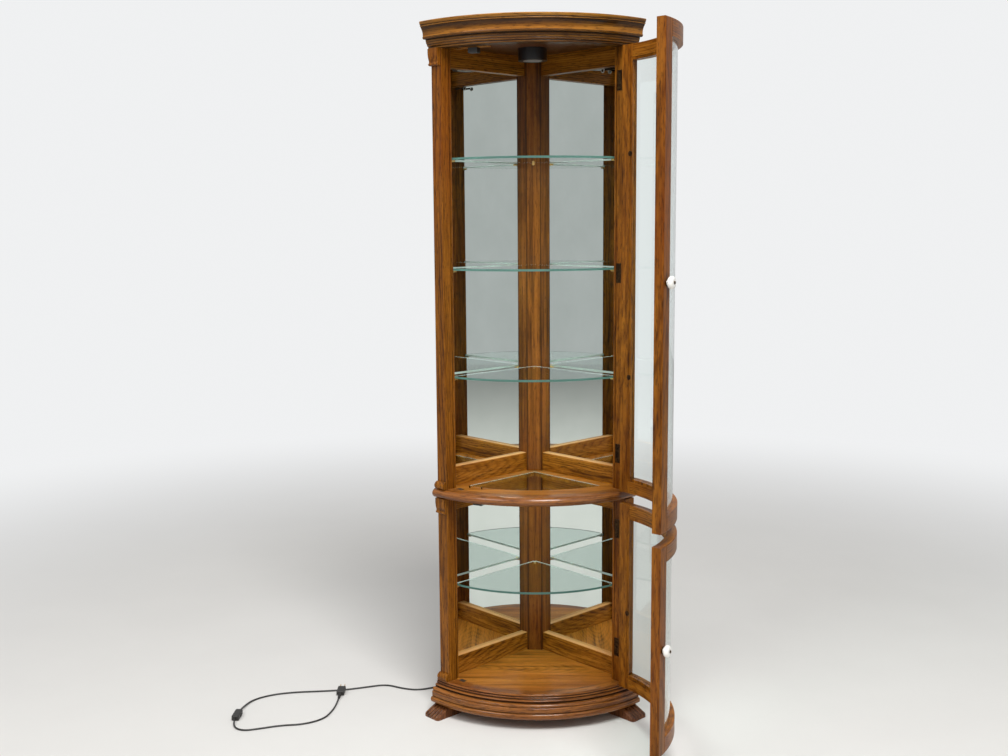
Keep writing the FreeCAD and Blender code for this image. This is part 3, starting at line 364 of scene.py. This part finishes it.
# The rails' upward faces carry painted top light, a paler tone
dress(oak("oak_wall_rail", "wall", light="#AF7226", mid="#895313", painted_top_light="#C08A50",
          tilt=0.05, middle=0.70, deep=0.03, ring=0.006),
      "upper_rails")
dress(oak("oak_lower_rail", "wall", light="#AA6E25", mid="#855012", painted_top_light="#C08A50",
          tilt=0.04, middle=0.14, deep=0.06, ring=0.006),
      "lower_rails", "base_rails")

# Crown, waist and base mouldings: bowed, with a little more lacquer than the frame. The crown has a
# brown glaze in its grooves, and painted highlights on its lips and the cove's flare and painted shade
# under them, set by height.
crown_glaze_and_light = (
    # Frieze: the foot on the top rail, then three fine grooves
    (1.9080, 0.35), (1.9105, 1.0), (1.9130, 0.8),
    (1.9138, 0.25), (1.9148, 0.3), (1.9156, 1.3), (1.9190, 0.8),
    (1.9198, 0.25), (1.9206, 0.3), (1.9214, 1.25), (1.9250, 0.8),
    (1.9259, 0.25), (1.9269, 0.3), (1.9278, 1.1), (1.9310, 0.5),
    # Cove: the groove under its bead, the bead, the flare with a painted highlight and the hollow with
    # painted shade
    (1.9328, 0.12), (1.9350, 0.7), (1.9375, 0.8), (1.9387, 0.35),
    (1.9398, 1.7), (1.9460, 1.5), (1.9530, 0.75), (1.9610, 0.35), (1.9655, 0.3),
    # Cap: its lip, the groove over it and the face
    (1.9665, 1.25), (1.9683, 1.2), (1.9691, 0.2), (1.9699, 0.4), (1.9730, 0.9), (1.9800, 1.2),
)
dress(oak("oak_crown", "bow", light="#A4722A", mid="#7C5118", dark="#38200A", warm="#7A4714",
          tilt=0.02, middle=0.3, deep=0.1, figure=0.15, sheen=0.35, glaze_and_light_bands=crown_glaze_and_light),
      "crown_cap")
dress(oak("oak_waist", "bow", light="#A0662C", mid="#7A471A", dark="#40200A",
          tilt=0.02, middle=0.25, deep=0.1, figure=0.15, sheen=0.6),
      "waist_moulding")
# Cove and frieze: a darker copy of the crown's oak, painted shade for the little light under the cap
dress(oak("oak_cove_painted_shade", "bow", light="#966420", mid="#6E4412", dark="#2E1806", warm="#6C3E10",
          tilt=0.02, middle=0.3, deep=0.1, figure=0.15, sheen=0.25, glaze_and_light_bands=crown_glaze_and_light),
      "crown_cove", "crown_frieze")
dress(oak("oak_base", "bow", light="#A56829", mid="#814D1A", dark="#48250B", warm="#7C3F16",
          tilt=0.02, middle=-0.2, deep=0.1, figure=0.2, sheen=0.45),
      "base_ogee", "base_plinth")

# Feet, door rails and boards: the same oak. The carved feet are a darker, redder oak, and the boards
# lie flat, with their grain across the cabinet. The top board is dull and painted dark, painted shade
# for the underside of the top, and the backs are thin hardboard with a plain oak face.
dress(oak("oak_foot", "upright", light="#8E5A34", mid="#6A3F21", dark="#331A0B", warm="#66341A",
          figure=0.1, sheen=0.25, nook=0.007),
      "foot_left", "foot_right", "foot_rear")
dress(oak("oak_door_rail", "door", light="#A66A20", mid="#7E4A10",
          tilt=0.05, middle=0.12, deep=0.08, ring=0.006),
      "upper_door_rails", "lower_door_rails")
dress(oak("oak_board", "board", light="#B27430", mid="#925A1B",
          tilt=0.05, middle=-0.2, deep=0.06, ring=0.006, figure=0.15, pore=0.3),
      "floor_panel", "waist_deck", "catch_cleat")
dress(oak("oak_top_painted_shade", "board", light="#5E3B1E", mid="#4A2D14", dark="#2C1909",
          tilt=0.07, middle=-0.18, deep=0.05, ring=0.010, sheen=0.0, shine=0.1),
      "top_panel")
dress(oak("oak_back", "upright", light="#8F7048", mid="#7C5E3A", dark="#5C4428", warm="#7C5A38",
          deep=0.3, sheen=0.0, shine=0.15),
      "back_panels")

# Mirrors: float glass silvered behind, one on each wall of each case. Clean, with a faint film of
# dust that spreads the reflection a little.
mirror_silver, tree, place, out = new_material("mirror_silver")
film = add(tree, "TexNoise", {"Scale": 9.0, "Detail": 6.0}, {"Vector": place})
tone = add(tree, "ValToRGB", {}, {"Fac": film.outputs["Fac"]})
tone.color_ramp.elements[0].color = linear("#DEE3E0")
tone.color_ramp.elements[1].color = linear("#EAEEEC")
gloss = add(tree, "MapRange", {"From Min": 0.45, "To Min": 0.0, "To Max": 0.035},
            {"Value": film.outputs["Fac"]})
silver = add(tree, "BsdfPrincipled", {"Metallic": 1.0},
             {"Base Color": tone.outputs["Color"], "Roughness": gloss.outputs["Result"]})
tree.links.new(silver.outputs["BSDF"], out.inputs["Surface"])
dress(mirror_silver, "mirrors")

# Clear glass: float glass, nearly colourless through its faces and sea green along its ground
# edges, where one looks through a long way of it. Lamps shine through it without a dark shadow.
# The back edges' pale tone is a painted highlight, for the light they catch from above
back_edge_highlight = "#E4F2EC"
front_edge_from = 0.355     # an edge this far from the corner line is the bowed front one


def clear_glass(name, face, edge, edge_clear, flat=True):
    """Glass in the tone of its face. A flat pane's bowed front edge has a tone of its own, and
    edge_clear is the share of light that it lets through."""
    made, tree, place, out = new_material(name)
    dust = add(tree, "TexNoise", {"Scale": 14.0, "Detail": 6.0, "Roughness": 0.6}, {"Vector": place})
    gloss = add(tree, "MapRange", {"From Min": 0.5, "From Max": 0.8, "To Min": 0.0, "To Max": 0.06},
                {"Value": dust.outputs["Fac"]})
    pane = add(tree, "BsdfPrincipled", {"IOR": 1.5, "Base Color": linear(face), "Transmission Weight": 1.0},
               {"Roughness": gloss.outputs["Result"]})
    if flat:
        facing = add(tree, "SeparateXYZ", {}, {0: add(tree, "NewGeometry").outputs["Normal"]})
        upright = add(tree, "Math", {"operation": "ABSOLUTE"}, {0: facing.outputs[2]})
        on_edge = add(tree, "Math", {"operation": "LESS_THAN", 1: 0.7}, {0: upright.outputs[0]})
        # The bowed front edge shows the green of the glass, and the straight back edges are painted pale
        # and let no light through, a painted highlight
        plan = add(tree, "VectorMath", {"operation": "MULTIPLY", 1: (1.0, 1.0, 0.0)}, {0: place})
        far = add(tree, "VectorMath", {"operation": "LENGTH"}, {0: plan.outputs[0]})
        in_front = add(tree, "Math", {"operation": "GREATER_THAN", 1: front_edge_from},
                       {0: far.outputs["Value"]})
        rim = add(tree, "MixRGB", {"Color1": linear(back_edge_highlight), "Color2": linear(edge)},
                  {"Fac": in_front.outputs[0]})
        colour = add(tree, "MixRGB", {"Color1": linear(face)},
                     {"Fac": on_edge.outputs[0], "Color2": rim.outputs[0]})
        pass_rim = add(tree, "MapRange", {"To Max": edge_clear}, {"Value": in_front.outputs[0]})
        through = add(tree, "MapRange", {"To Min": 1.0},
                      {"Value": on_edge.outputs[0], "To Max": pass_rim.outputs["Result"]})
        ground = add(tree, "MapRange", {"To Max": 0.4}, {"Value": on_edge.outputs[0]})
        duller = add(tree, "Math", {"operation": "MAXIMUM"},
                     {0: ground.outputs["Result"], 1: gloss.outputs["Result"]})
        tree.links.new(duller.outputs[0], pane.inputs["Roughness"])
        tree.links.new(colour.outputs[0], pane.inputs["Base Color"])
        tree.links.new(through.outputs["Result"], pane.inputs["Transmission Weight"])
    clear = add(tree, "BsdfTransparent", {"Color": linear("#EAF3F0")})
    path = add(tree, "LightPath")
    lit = add(tree, "MixShader", {}, {0: path.outputs["Is Shadow Ray"], 1: pane.outputs["BSDF"],
                                      2: clear.outputs["BSDF"]})
    tree.links.new(lit.outputs[0], out.inputs["Surface"])
    return made


dress(clear_glass("shelf_glass", "#E6F3EF", "#3F695F", 0.2),
      "lower_shelf", "upper_shelf_1", "upper_shelf_2", "upper_shelf_3", "deck_glass")
dress(clear_glass("door_glass", "#F4FAF8", "#8FC4B8", 0.7, flat=False),
      "upper_door_glass", "lower_door_glass")

# Knobs: glazed white porcelain on a dark metal base, held by a screw from inside the stile. The glaze
# is thick and shines, and has a few faint specks.
porcelain, tree, place, out = new_material("porcelain")
speck = add(tree, "TexNoise", {"Scale": 700.0, "Detail": 1.0}, {"Vector": place})
dots = add(tree, "MapRange", {"From Min": 0.7, "From Max": 0.76}, {"Value": speck.outputs["Fac"]})
cast = add(tree, "MixRGB", {"Color1": linear("#F3F1EB"), "Color2": linear("#CFC7B8")},
           {"Fac": dots.outputs["Result"]})
glazed = add(tree, "BsdfPrincipled",
             {"Roughness": 0.12, "IOR": 1.5, "Coat Weight": 1.0, "Coat Roughness": 0.03},
             {"Base Color": cast.outputs[0]})
tree.links.new(glazed.outputs["BSDF"], out.inputs["Surface"])
dress(porcelain, "upper_door_knob", "lower_door_knob")

# Hinges, clips, screws and strike plates: steel plated and darkened to an antique bronze, which is
# rubbed lighter in spots.
antique_bronze, tree, place, out = new_material("antique_bronze")
tarnish = add(tree, "TexNoise", {"Scale": 130.0, "Detail": 6.0, "Roughness": 0.65}, {"Vector": place})
shade = add(tree, "ValToRGB", {}, {"Fac": tarnish.outputs["Fac"]})
shade.color_ramp.elements[0].position = 0.35
shade.color_ramp.elements[0].color = linear("#1E1712")
shade.color_ramp.elements[1].position = 0.72
shade.color_ramp.elements[1].color = linear("#5A4228")
gloss = add(tree, "MapRange", {"To Min": 0.32, "To Max": 0.6}, {"Value": tarnish.outputs["Fac"]})
plated = add(tree, "BsdfPrincipled", {"Metallic": 1.0},
             {"Base Color": shade.outputs["Color"], "Roughness": gloss.outputs["Result"]})
tree.links.new(plated.outputs["BSDF"], out.inputs["Surface"])
dress(antique_bronze, "hinge_pins", "hinge_post_leaves", "upper_door_hinge_leaves",
      "lower_door_hinge_leaves", "upper_door_fittings", "lower_door_fittings")

# Screws: small domed heads with a cross recess, blackened like the hinges that they hold. Two are
# driven home in each hinge leaf on its post, and two stand half out of the waist deck by the left post.
head_radius = 0.0036
head_rim = 0.0009
dome_inset = 0.0008
dome_rise = 0.0004
cross_half = 0.0004             # half the width of the recess's arms
cross_depth = 0.0007
shank_inset = 0.0018            # from the head's rim to the shank
shank_length = 0.0055
head_over_deck = 0.005
half_leaf = 0.02725             # half the height of a hinge leaf
screw_from_middle = 0.0195
leaf_along = 0.3860             # the screws' line, along the wall and out of it
leaf_out = 0.0400
smooth_below = math.radians(35)


def keep_faces(piece, rule):
    """Selects the faces of a piece that a rule on their middle and normal picks, in edit mode."""
    bpy.ops.object.mode_set(mode="EDIT")
    bpy.ops.mesh.select_mode(type="FACE")
    bpy.ops.mesh.select_all(action="DESELECT")
    bpy.ops.object.mode_set(mode="OBJECT")
    for face in piece.data.polygons:
        face.select = rule(face.center, face.normal)
    bpy.ops.object.mode_set(mode="EDIT")


def is_end(middle, normal):
    return normal.z > 0.9


def is_dome(middle, normal):
    return normal.z > 0.9 and middle.z > 0.001


def in_cross(middle, normal):
    return is_dome(middle, normal) and min(abs(middle.x), abs(middle.y)) < 0.75 * cross_half


bpy.ops.object.select_all(action="DESELECT")
bpy.ops.mesh.primitive_cylinder_add(vertices=24, radius=head_radius, depth=head_rim,
                                    location=(0, 0, head_rim / 2))
screw = bpy.context.object
screw.name = "screw"
bpy.ops.object.transform_apply(location=True, rotation=True, scale=True)
keep_faces(screw, is_end)
bpy.ops.mesh.inset(thickness=dome_inset)
bpy.ops.transform.translate(value=(0, 0, dome_rise))
for way in ((1, 0, 0), (0, 1, 0)):
    for side in (-1, 1):
        keep_faces(screw, is_dome)
        bpy.ops.mesh.bisect(plane_co=[cross_half * side * w for w in way], plane_no=way)
keep_faces(screw, in_cross)
bpy.ops.mesh.extrude_region_move(TRANSFORM_OT_translate={"value": (0, 0, -cross_depth)})
bpy.ops.object.mode_set(mode="OBJECT")
bpy.ops.object.shade_smooth_by_angle(angle=smooth_below)
black_bronze, tree, place, out = new_material("black_bronze")
patina = add(tree, "TexNoise", {"Scale": 900.0, "Detail": 3.0}, {"Vector": place})
shade = add(tree, "MixRGB", {"Color1": linear("#17120E"), "Color2": linear("#3B2D1F")},
            {"Fac": patina.outputs["Fac"]})
gloss = add(tree, "MapRange", {"To Min": 0.3, "To Max": 0.55}, {"Value": patina.outputs["Fac"]})
plated = add(tree, "BsdfPrincipled", {"Metallic": 1.0},
             {"Base Color": shade.outputs[0], "Roughness": gloss.outputs["Result"]})
tree.links.new(plated.outputs["BSDF"], out.inputs["Surface"])
screw.data.materials.append(black_bronze)


def on_right_wall(t, n, z):
    """A point t along the right wall from the corner line and n in front of its mirror."""
    return Vector(((t - n) / math.sqrt(2), -(t + n) / math.sqrt(2), z))


def seat(shape, name, at, way):
    """A copy of a piece that is drawn upright on the floor, stood at a point and turned to a way."""
    bpy.ops.object.select_all(action="DESELECT")
    made = shape.copy()
    made.data = shape.data.copy()
    made.name = name
    bpy.context.collection.objects.link(made)
    turned = Vector(way).to_track_quat("Z", "Y").to_matrix().to_4x4()
    made.matrix_world = Matrix.Translation(at) @ turned
    made.select_set(True)
    bpy.context.view_layer.objects.active = made
    bpy.ops.object.transform_apply(location=True, rotation=True, scale=True)
    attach(made, "cabinet")
    return made


up = Vector((0, 0, 1))
out_of_wall = Vector((-half_root, -half_root, 0))
along_wall = Vector((half_root, -half_root, 0))
leaf_middles = []
for name, count in (("lower_door_hinge_leaves", 2), ("upper_door_hinge_leaves", 3)):
    low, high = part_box(name)
    bottom, top = low[2] + half_leaf, high[2] - half_leaf
    leaf_middles += [bottom + (top - bottom) * i / (count - 1) for i in range(count)]
for i, middle in enumerate(leaf_middles):
    for end, step in (("low", -screw_from_middle), ("high", screw_from_middle)):
        at = on_right_wall(leaf_along, leaf_out, middle + step)
        seat(screw, "hinge_screw_%d_%s" % (i + 1, end), at, out_of_wall)
bpy.ops.object.select_all(action="DESELECT")
long_screw = screw.copy()
long_screw.data = screw.data.copy()
long_screw.name = "long_screw"
bpy.context.collection.objects.link(long_screw)
long_screw.select_set(True)
bpy.context.view_layer.objects.active = long_screw
keep_faces(long_screw, lambda middle, normal: normal.z < -0.9)
bpy.ops.mesh.inset(thickness=shank_inset)
bpy.ops.mesh.extrude_region_move(TRANSFORM_OT_translate={"value": (0, 0, -shank_length)})
bpy.ops.object.mode_set(mode="OBJECT")
head_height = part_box("waist_deck")[1][2] + head_over_deck
seat(long_screw, "deck_screw_left", Vector((-0.186, -0.283, head_height)), up)
seat(long_screw, "deck_screw_right", Vector((-0.151, -0.300, head_height)), up)

# Rail button: a clear round stop of moulded plastic, screwed to the right top rail near the post,
# with a flat blackened bar from it to the post.
rail_face = 0.0131              # the face of the top rail, out of the wall's mirror
button_radius = 0.006
button_height = 0.0036
button_round = 0.0009
dish_rim = 0.0012               # the rim round the dish that takes the screw's head
dish_depth = 0.001
screw_sink = 0.0001
button_along = 0.292
button_level = 1.853
bar_length = 0.038
bar_width = 0.0055
bar_height = 0.0016
bar_round = 0.0006
bar_end_round = 0.0004
bar_along = 0.318
bar_level = 1.8555
bpy.ops.object.select_all(action="DESELECT")
bpy.ops.mesh.primitive_cylinder_add(vertices=32, radius=button_radius, depth=button_height,
                                    location=(0, 0, button_height / 2))
button = bpy.context.object
button.name = "button"
bpy.ops.object.transform_apply(location=True, rotation=True, scale=True)
keep_faces(button, is_end)
bpy.ops.mesh.bevel(offset=button_round, segments=3)
keep_faces(button, lambda middle, normal: normal.z > 0.99 and middle.z > 0.97 * button_height)
bpy.ops.mesh.inset(thickness=dish_rim)
bpy.ops.mesh.extrude_region_move(TRANSFORM_OT_translate={"value": (0, 0, -dish_depth)})
bpy.ops.object.mode_set(mode="OBJECT")
bpy.ops.object.shade_smooth_by_angle(angle=smooth_below)
clear_plastic, tree, place, out = new_material("clear_plastic")
haze = add(tree, "TexNoise", {"Scale": 500.0, "Detail": 2.0}, {"Vector": place})
tint = add(tree, "MixRGB", {"Color1": linear("#C9C4BC"), "Color2": linear("#E4E0D8")},
           {"Fac": haze.outputs["Fac"]})
gloss = add(tree, "MapRange", {"To Min": 0.12, "To Max": 0.3}, {"Value": haze.outputs["Fac"]})
moulded = add(tree, "BsdfPrincipled", {"IOR": 1.49, "Transmission Weight": 0.6},
              {"Base Color": tint.outputs[0], "Roughness": gloss.outputs["Result"]})
tree.links.new(moulded.outputs["BSDF"], out.inputs["Surface"])
button.data.materials.append(clear_plastic)
dish_floor = rail_face + button_height - dish_depth - screw_sink
seat(button, "rail_button", on_right_wall(button_along, rail_face, button_level), out_of_wall)
seat(screw, "rail_button_screw", on_right_wall(button_along, dish_floor, button_level), out_of_wall)
bpy.ops.object.select_all(action="DESELECT")
bpy.ops.mesh.primitive_cube_add(size=1.0, location=(0, 0, bar_height / 2))
bar = bpy.context.object
bar.name = "rail_bar"
bar.scale = (bar_length, bar_width, bar_height)
bpy.ops.object.transform_apply(location=True, rotation=True, scale=True)
keep_faces(bar, is_end)
bpy.ops.mesh.bevel(offset=bar_round, segments=2)
keep_faces(bar, lambda middle, normal: abs(normal.x) > 0.9)
bpy.ops.mesh.bevel(offset=bar_end_round, segments=2)
bpy.ops.object.mode_set(mode="OBJECT")
bar.data.materials.append(black_bronze)
laid = Matrix((along_wall, up, out_of_wall)).transposed().to_4x4()
bar.matrix_world = Matrix.Translation(on_right_wall(bar_along, rail_face, bar_level)) @ laid
bpy.ops.object.select_all(action="DESELECT")
bar.select_set(True)
bpy.context.view_layer.objects.active = bar
bpy.ops.object.transform_apply(location=True, rotation=True, scale=True)
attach(bar, "cabinet")
for pattern in (screw, long_screw, button):
    bpy.data.objects.remove(pattern)

# Shelf pins and plug blades: brass, the pins turned and the blades stamped, bright with the fine
# lines of the tools.
turned_brass, tree, place, out = new_material("turned_brass")
lathe = add(tree, "TexNoise", {"Scale": 600.0, "Detail": 2.0}, {"Vector": place})
shade = add(tree, "ValToRGB", {}, {"Fac": lathe.outputs["Fac"]})
shade.color_ramp.elements[0].color = linear("#B08A45")
shade.color_ramp.elements[1].color = linear("#D9B874")
gloss = add(tree, "MapRange", {"To Min": 0.2, "To Max": 0.38}, {"Value": lathe.outputs["Fac"]})
metal = add(tree, "BsdfPrincipled", {"Metallic": 1.0},
            {"Base Color": shade.outputs["Color"], "Roughness": gloss.outputs["Result"]})
tree.links.new(metal.outputs["BSDF"], out.inputs["Surface"])
dress(turned_brass, "shelf_pins", "plug_blades")

# Light: a spun steel can, sprayed satin black, with a small bulb behind a frosted glass lens. The
# paint is slightly orange-peeled.
black_enamel, tree, place, out = new_material("black_enamel")
peel = add(tree, "TexNoise", {"Scale": 500.0, "Detail": 1.0}, {"Vector": place})
shade = add(tree, "ValToRGB", {}, {"Fac": peel.outputs["Fac"]})
shade.color_ramp.elements[0].color = linear("#0E0E0F")
shade.color_ramp.elements[1].color = linear("#1E1E20")
skin = add(tree, "Bump", {"Strength": 0.1, "Distance": 0.0003}, {"Height": peel.outputs["Fac"]})
paint = add(tree, "BsdfPrincipled",
            {"Roughness": 0.35, "IOR": 1.5, "Coat Weight": 0.4, "Coat Roughness": 0.2},
            {"Base Color": shade.outputs["Color"], "Normal": skin.outputs["Normal"]})
tree.links.new(paint.outputs["BSDF"], out.inputs["Surface"])
dress(black_enamel, "light_housing")
frosted, tree, place, out = new_material("frosted_glass")
etch = add(tree, "TexNoise", {"Scale": 300.0, "Detail": 3.0}, {"Vector": place})
gloss = add(tree, "MapRange", {"To Min": 0.3, "To Max": 0.55}, {"Value": etch.outputs["Fac"]})
tint = add(tree, "MixRGB", {"Color1": linear("#E9ECE8"), "Color2": linear("#F6F5EF")},
           {"Fac": etch.outputs["Fac"]})
lens = add(tree, "BsdfPrincipled", {"IOR": 1.5, "Transmission Weight": 0.8},
           {"Base Color": tint.outputs[0], "Roughness": gloss.outputs["Result"]})
tree.links.new(lens.outputs["BSDF"], out.inputs["Surface"])
dress(frosted, "light_lens", "light_bulb")

# Floor and studio: a plain pale floor and a white surround, lit by two large soft lamps and the
# even light of the room.
surround = "#FBFCFD"
seen_light = 0.9                # the surround as the camera sees it, straight or through glass
even_light = 0.34               # what it sheds on the object
glossy_light = 0.64             # what mirrors and lacquer reflect of it
fade_from = 1.3
fade_to = 4.5
floor_paint, tree, place, out = new_material("floor_paint")
mottle = add(tree, "TexNoise", {"Scale": 3.0, "Detail": 4.0}, {"Vector": place})
shade = add(tree, "MixRGB", {"Color1": linear("#DEDCD8"), "Color2": linear("#E4E2DE")},
            {"Fac": mottle.outputs["Fac"]})
coat = add(tree, "BsdfPrincipled", {"Roughness": 0.7}, {"Base Color": shade.outputs[0]})
# Far out, the floor fades into the white surround
reach = add(tree, "VectorMath", {"operation": "LENGTH"}, {0: place})
fade = add(tree, "MapRange",
           {"interpolation_type": "SMOOTHSTEP", "From Min": fade_from, "From Max": fade_to},
           {"Value": reach.outputs["Value"]})
path = add(tree, "LightPath")
seen = add(tree, "Math", {"operation": "MAXIMUM"},
           {0: path.outputs["Is Camera Ray"], 1: path.outputs["Is Transmission Ray"]})
far = add(tree, "Math", {"operation": "MULTIPLY"}, {0: seen.outputs[0], 1: fade.outputs["Result"]})
white = add(tree, "Emission", {"Color": linear(surround), "Strength": seen_light})
blend = add(tree, "MixShader", {}, {0: far.outputs[0], 1: coat.outputs["BSDF"], 2: white.outputs[0]})
tree.links.new(blend.outputs[0], out.inputs["Surface"])
bpy.ops.mesh.primitive_plane_add(size=16.0, location=(0, 0, 0))
floor = bpy.context.object
floor.name = "floor"
floor.data.materials.append(floor_paint)

room = bpy.data.worlds.new("room")
bpy.context.scene.world = room
room.use_nodes = True
tree = room.node_tree
tree.nodes.clear()
path = add(tree, "LightPath")
seen = add(tree, "Math", {"operation": "MAXIMUM"},
           {0: path.outputs["Is Camera Ray"], 1: path.outputs["Is Transmission Ray"]})
level = add(tree, "MapRange", {"To Min": even_light, "To Max": seen_light}, {"Value": seen.outputs[0]})
shiny = add(tree, "Math", {"operation": "MULTIPLY", 1: glossy_light}, {0: path.outputs["Is Glossy Ray"]})
level = add(tree, "Math", {"operation": "MAXIMUM"}, {0: shiny.outputs[0], 1: level.outputs["Result"]})
air = add(tree, "Background", {"Color": linear(surround)}, {"Strength": level.outputs[0]})
add(tree, "OutputWorld", {}, {"Surface": air.outputs[0]})

lamps_look_at = Vector((0, 0, 1.0))
for name, stand, size, power in (("lamp_high", (0.7, -3.0, 5.0), 1.8, 245.0),
                                 ("lamp_left", (-2.6, -3.0, 3.8), 2.0, 70.0)):
    bpy.ops.object.light_add(type="AREA", location=stand)
    lamp = bpy.context.object
    lamp.name = name
    lamp.data.size = size
    lamp.data.energy = power
    lamp.rotation_euler = (lamps_look_at - Vector(stand)).to_track_quat("-Z", "Y").to_euler()
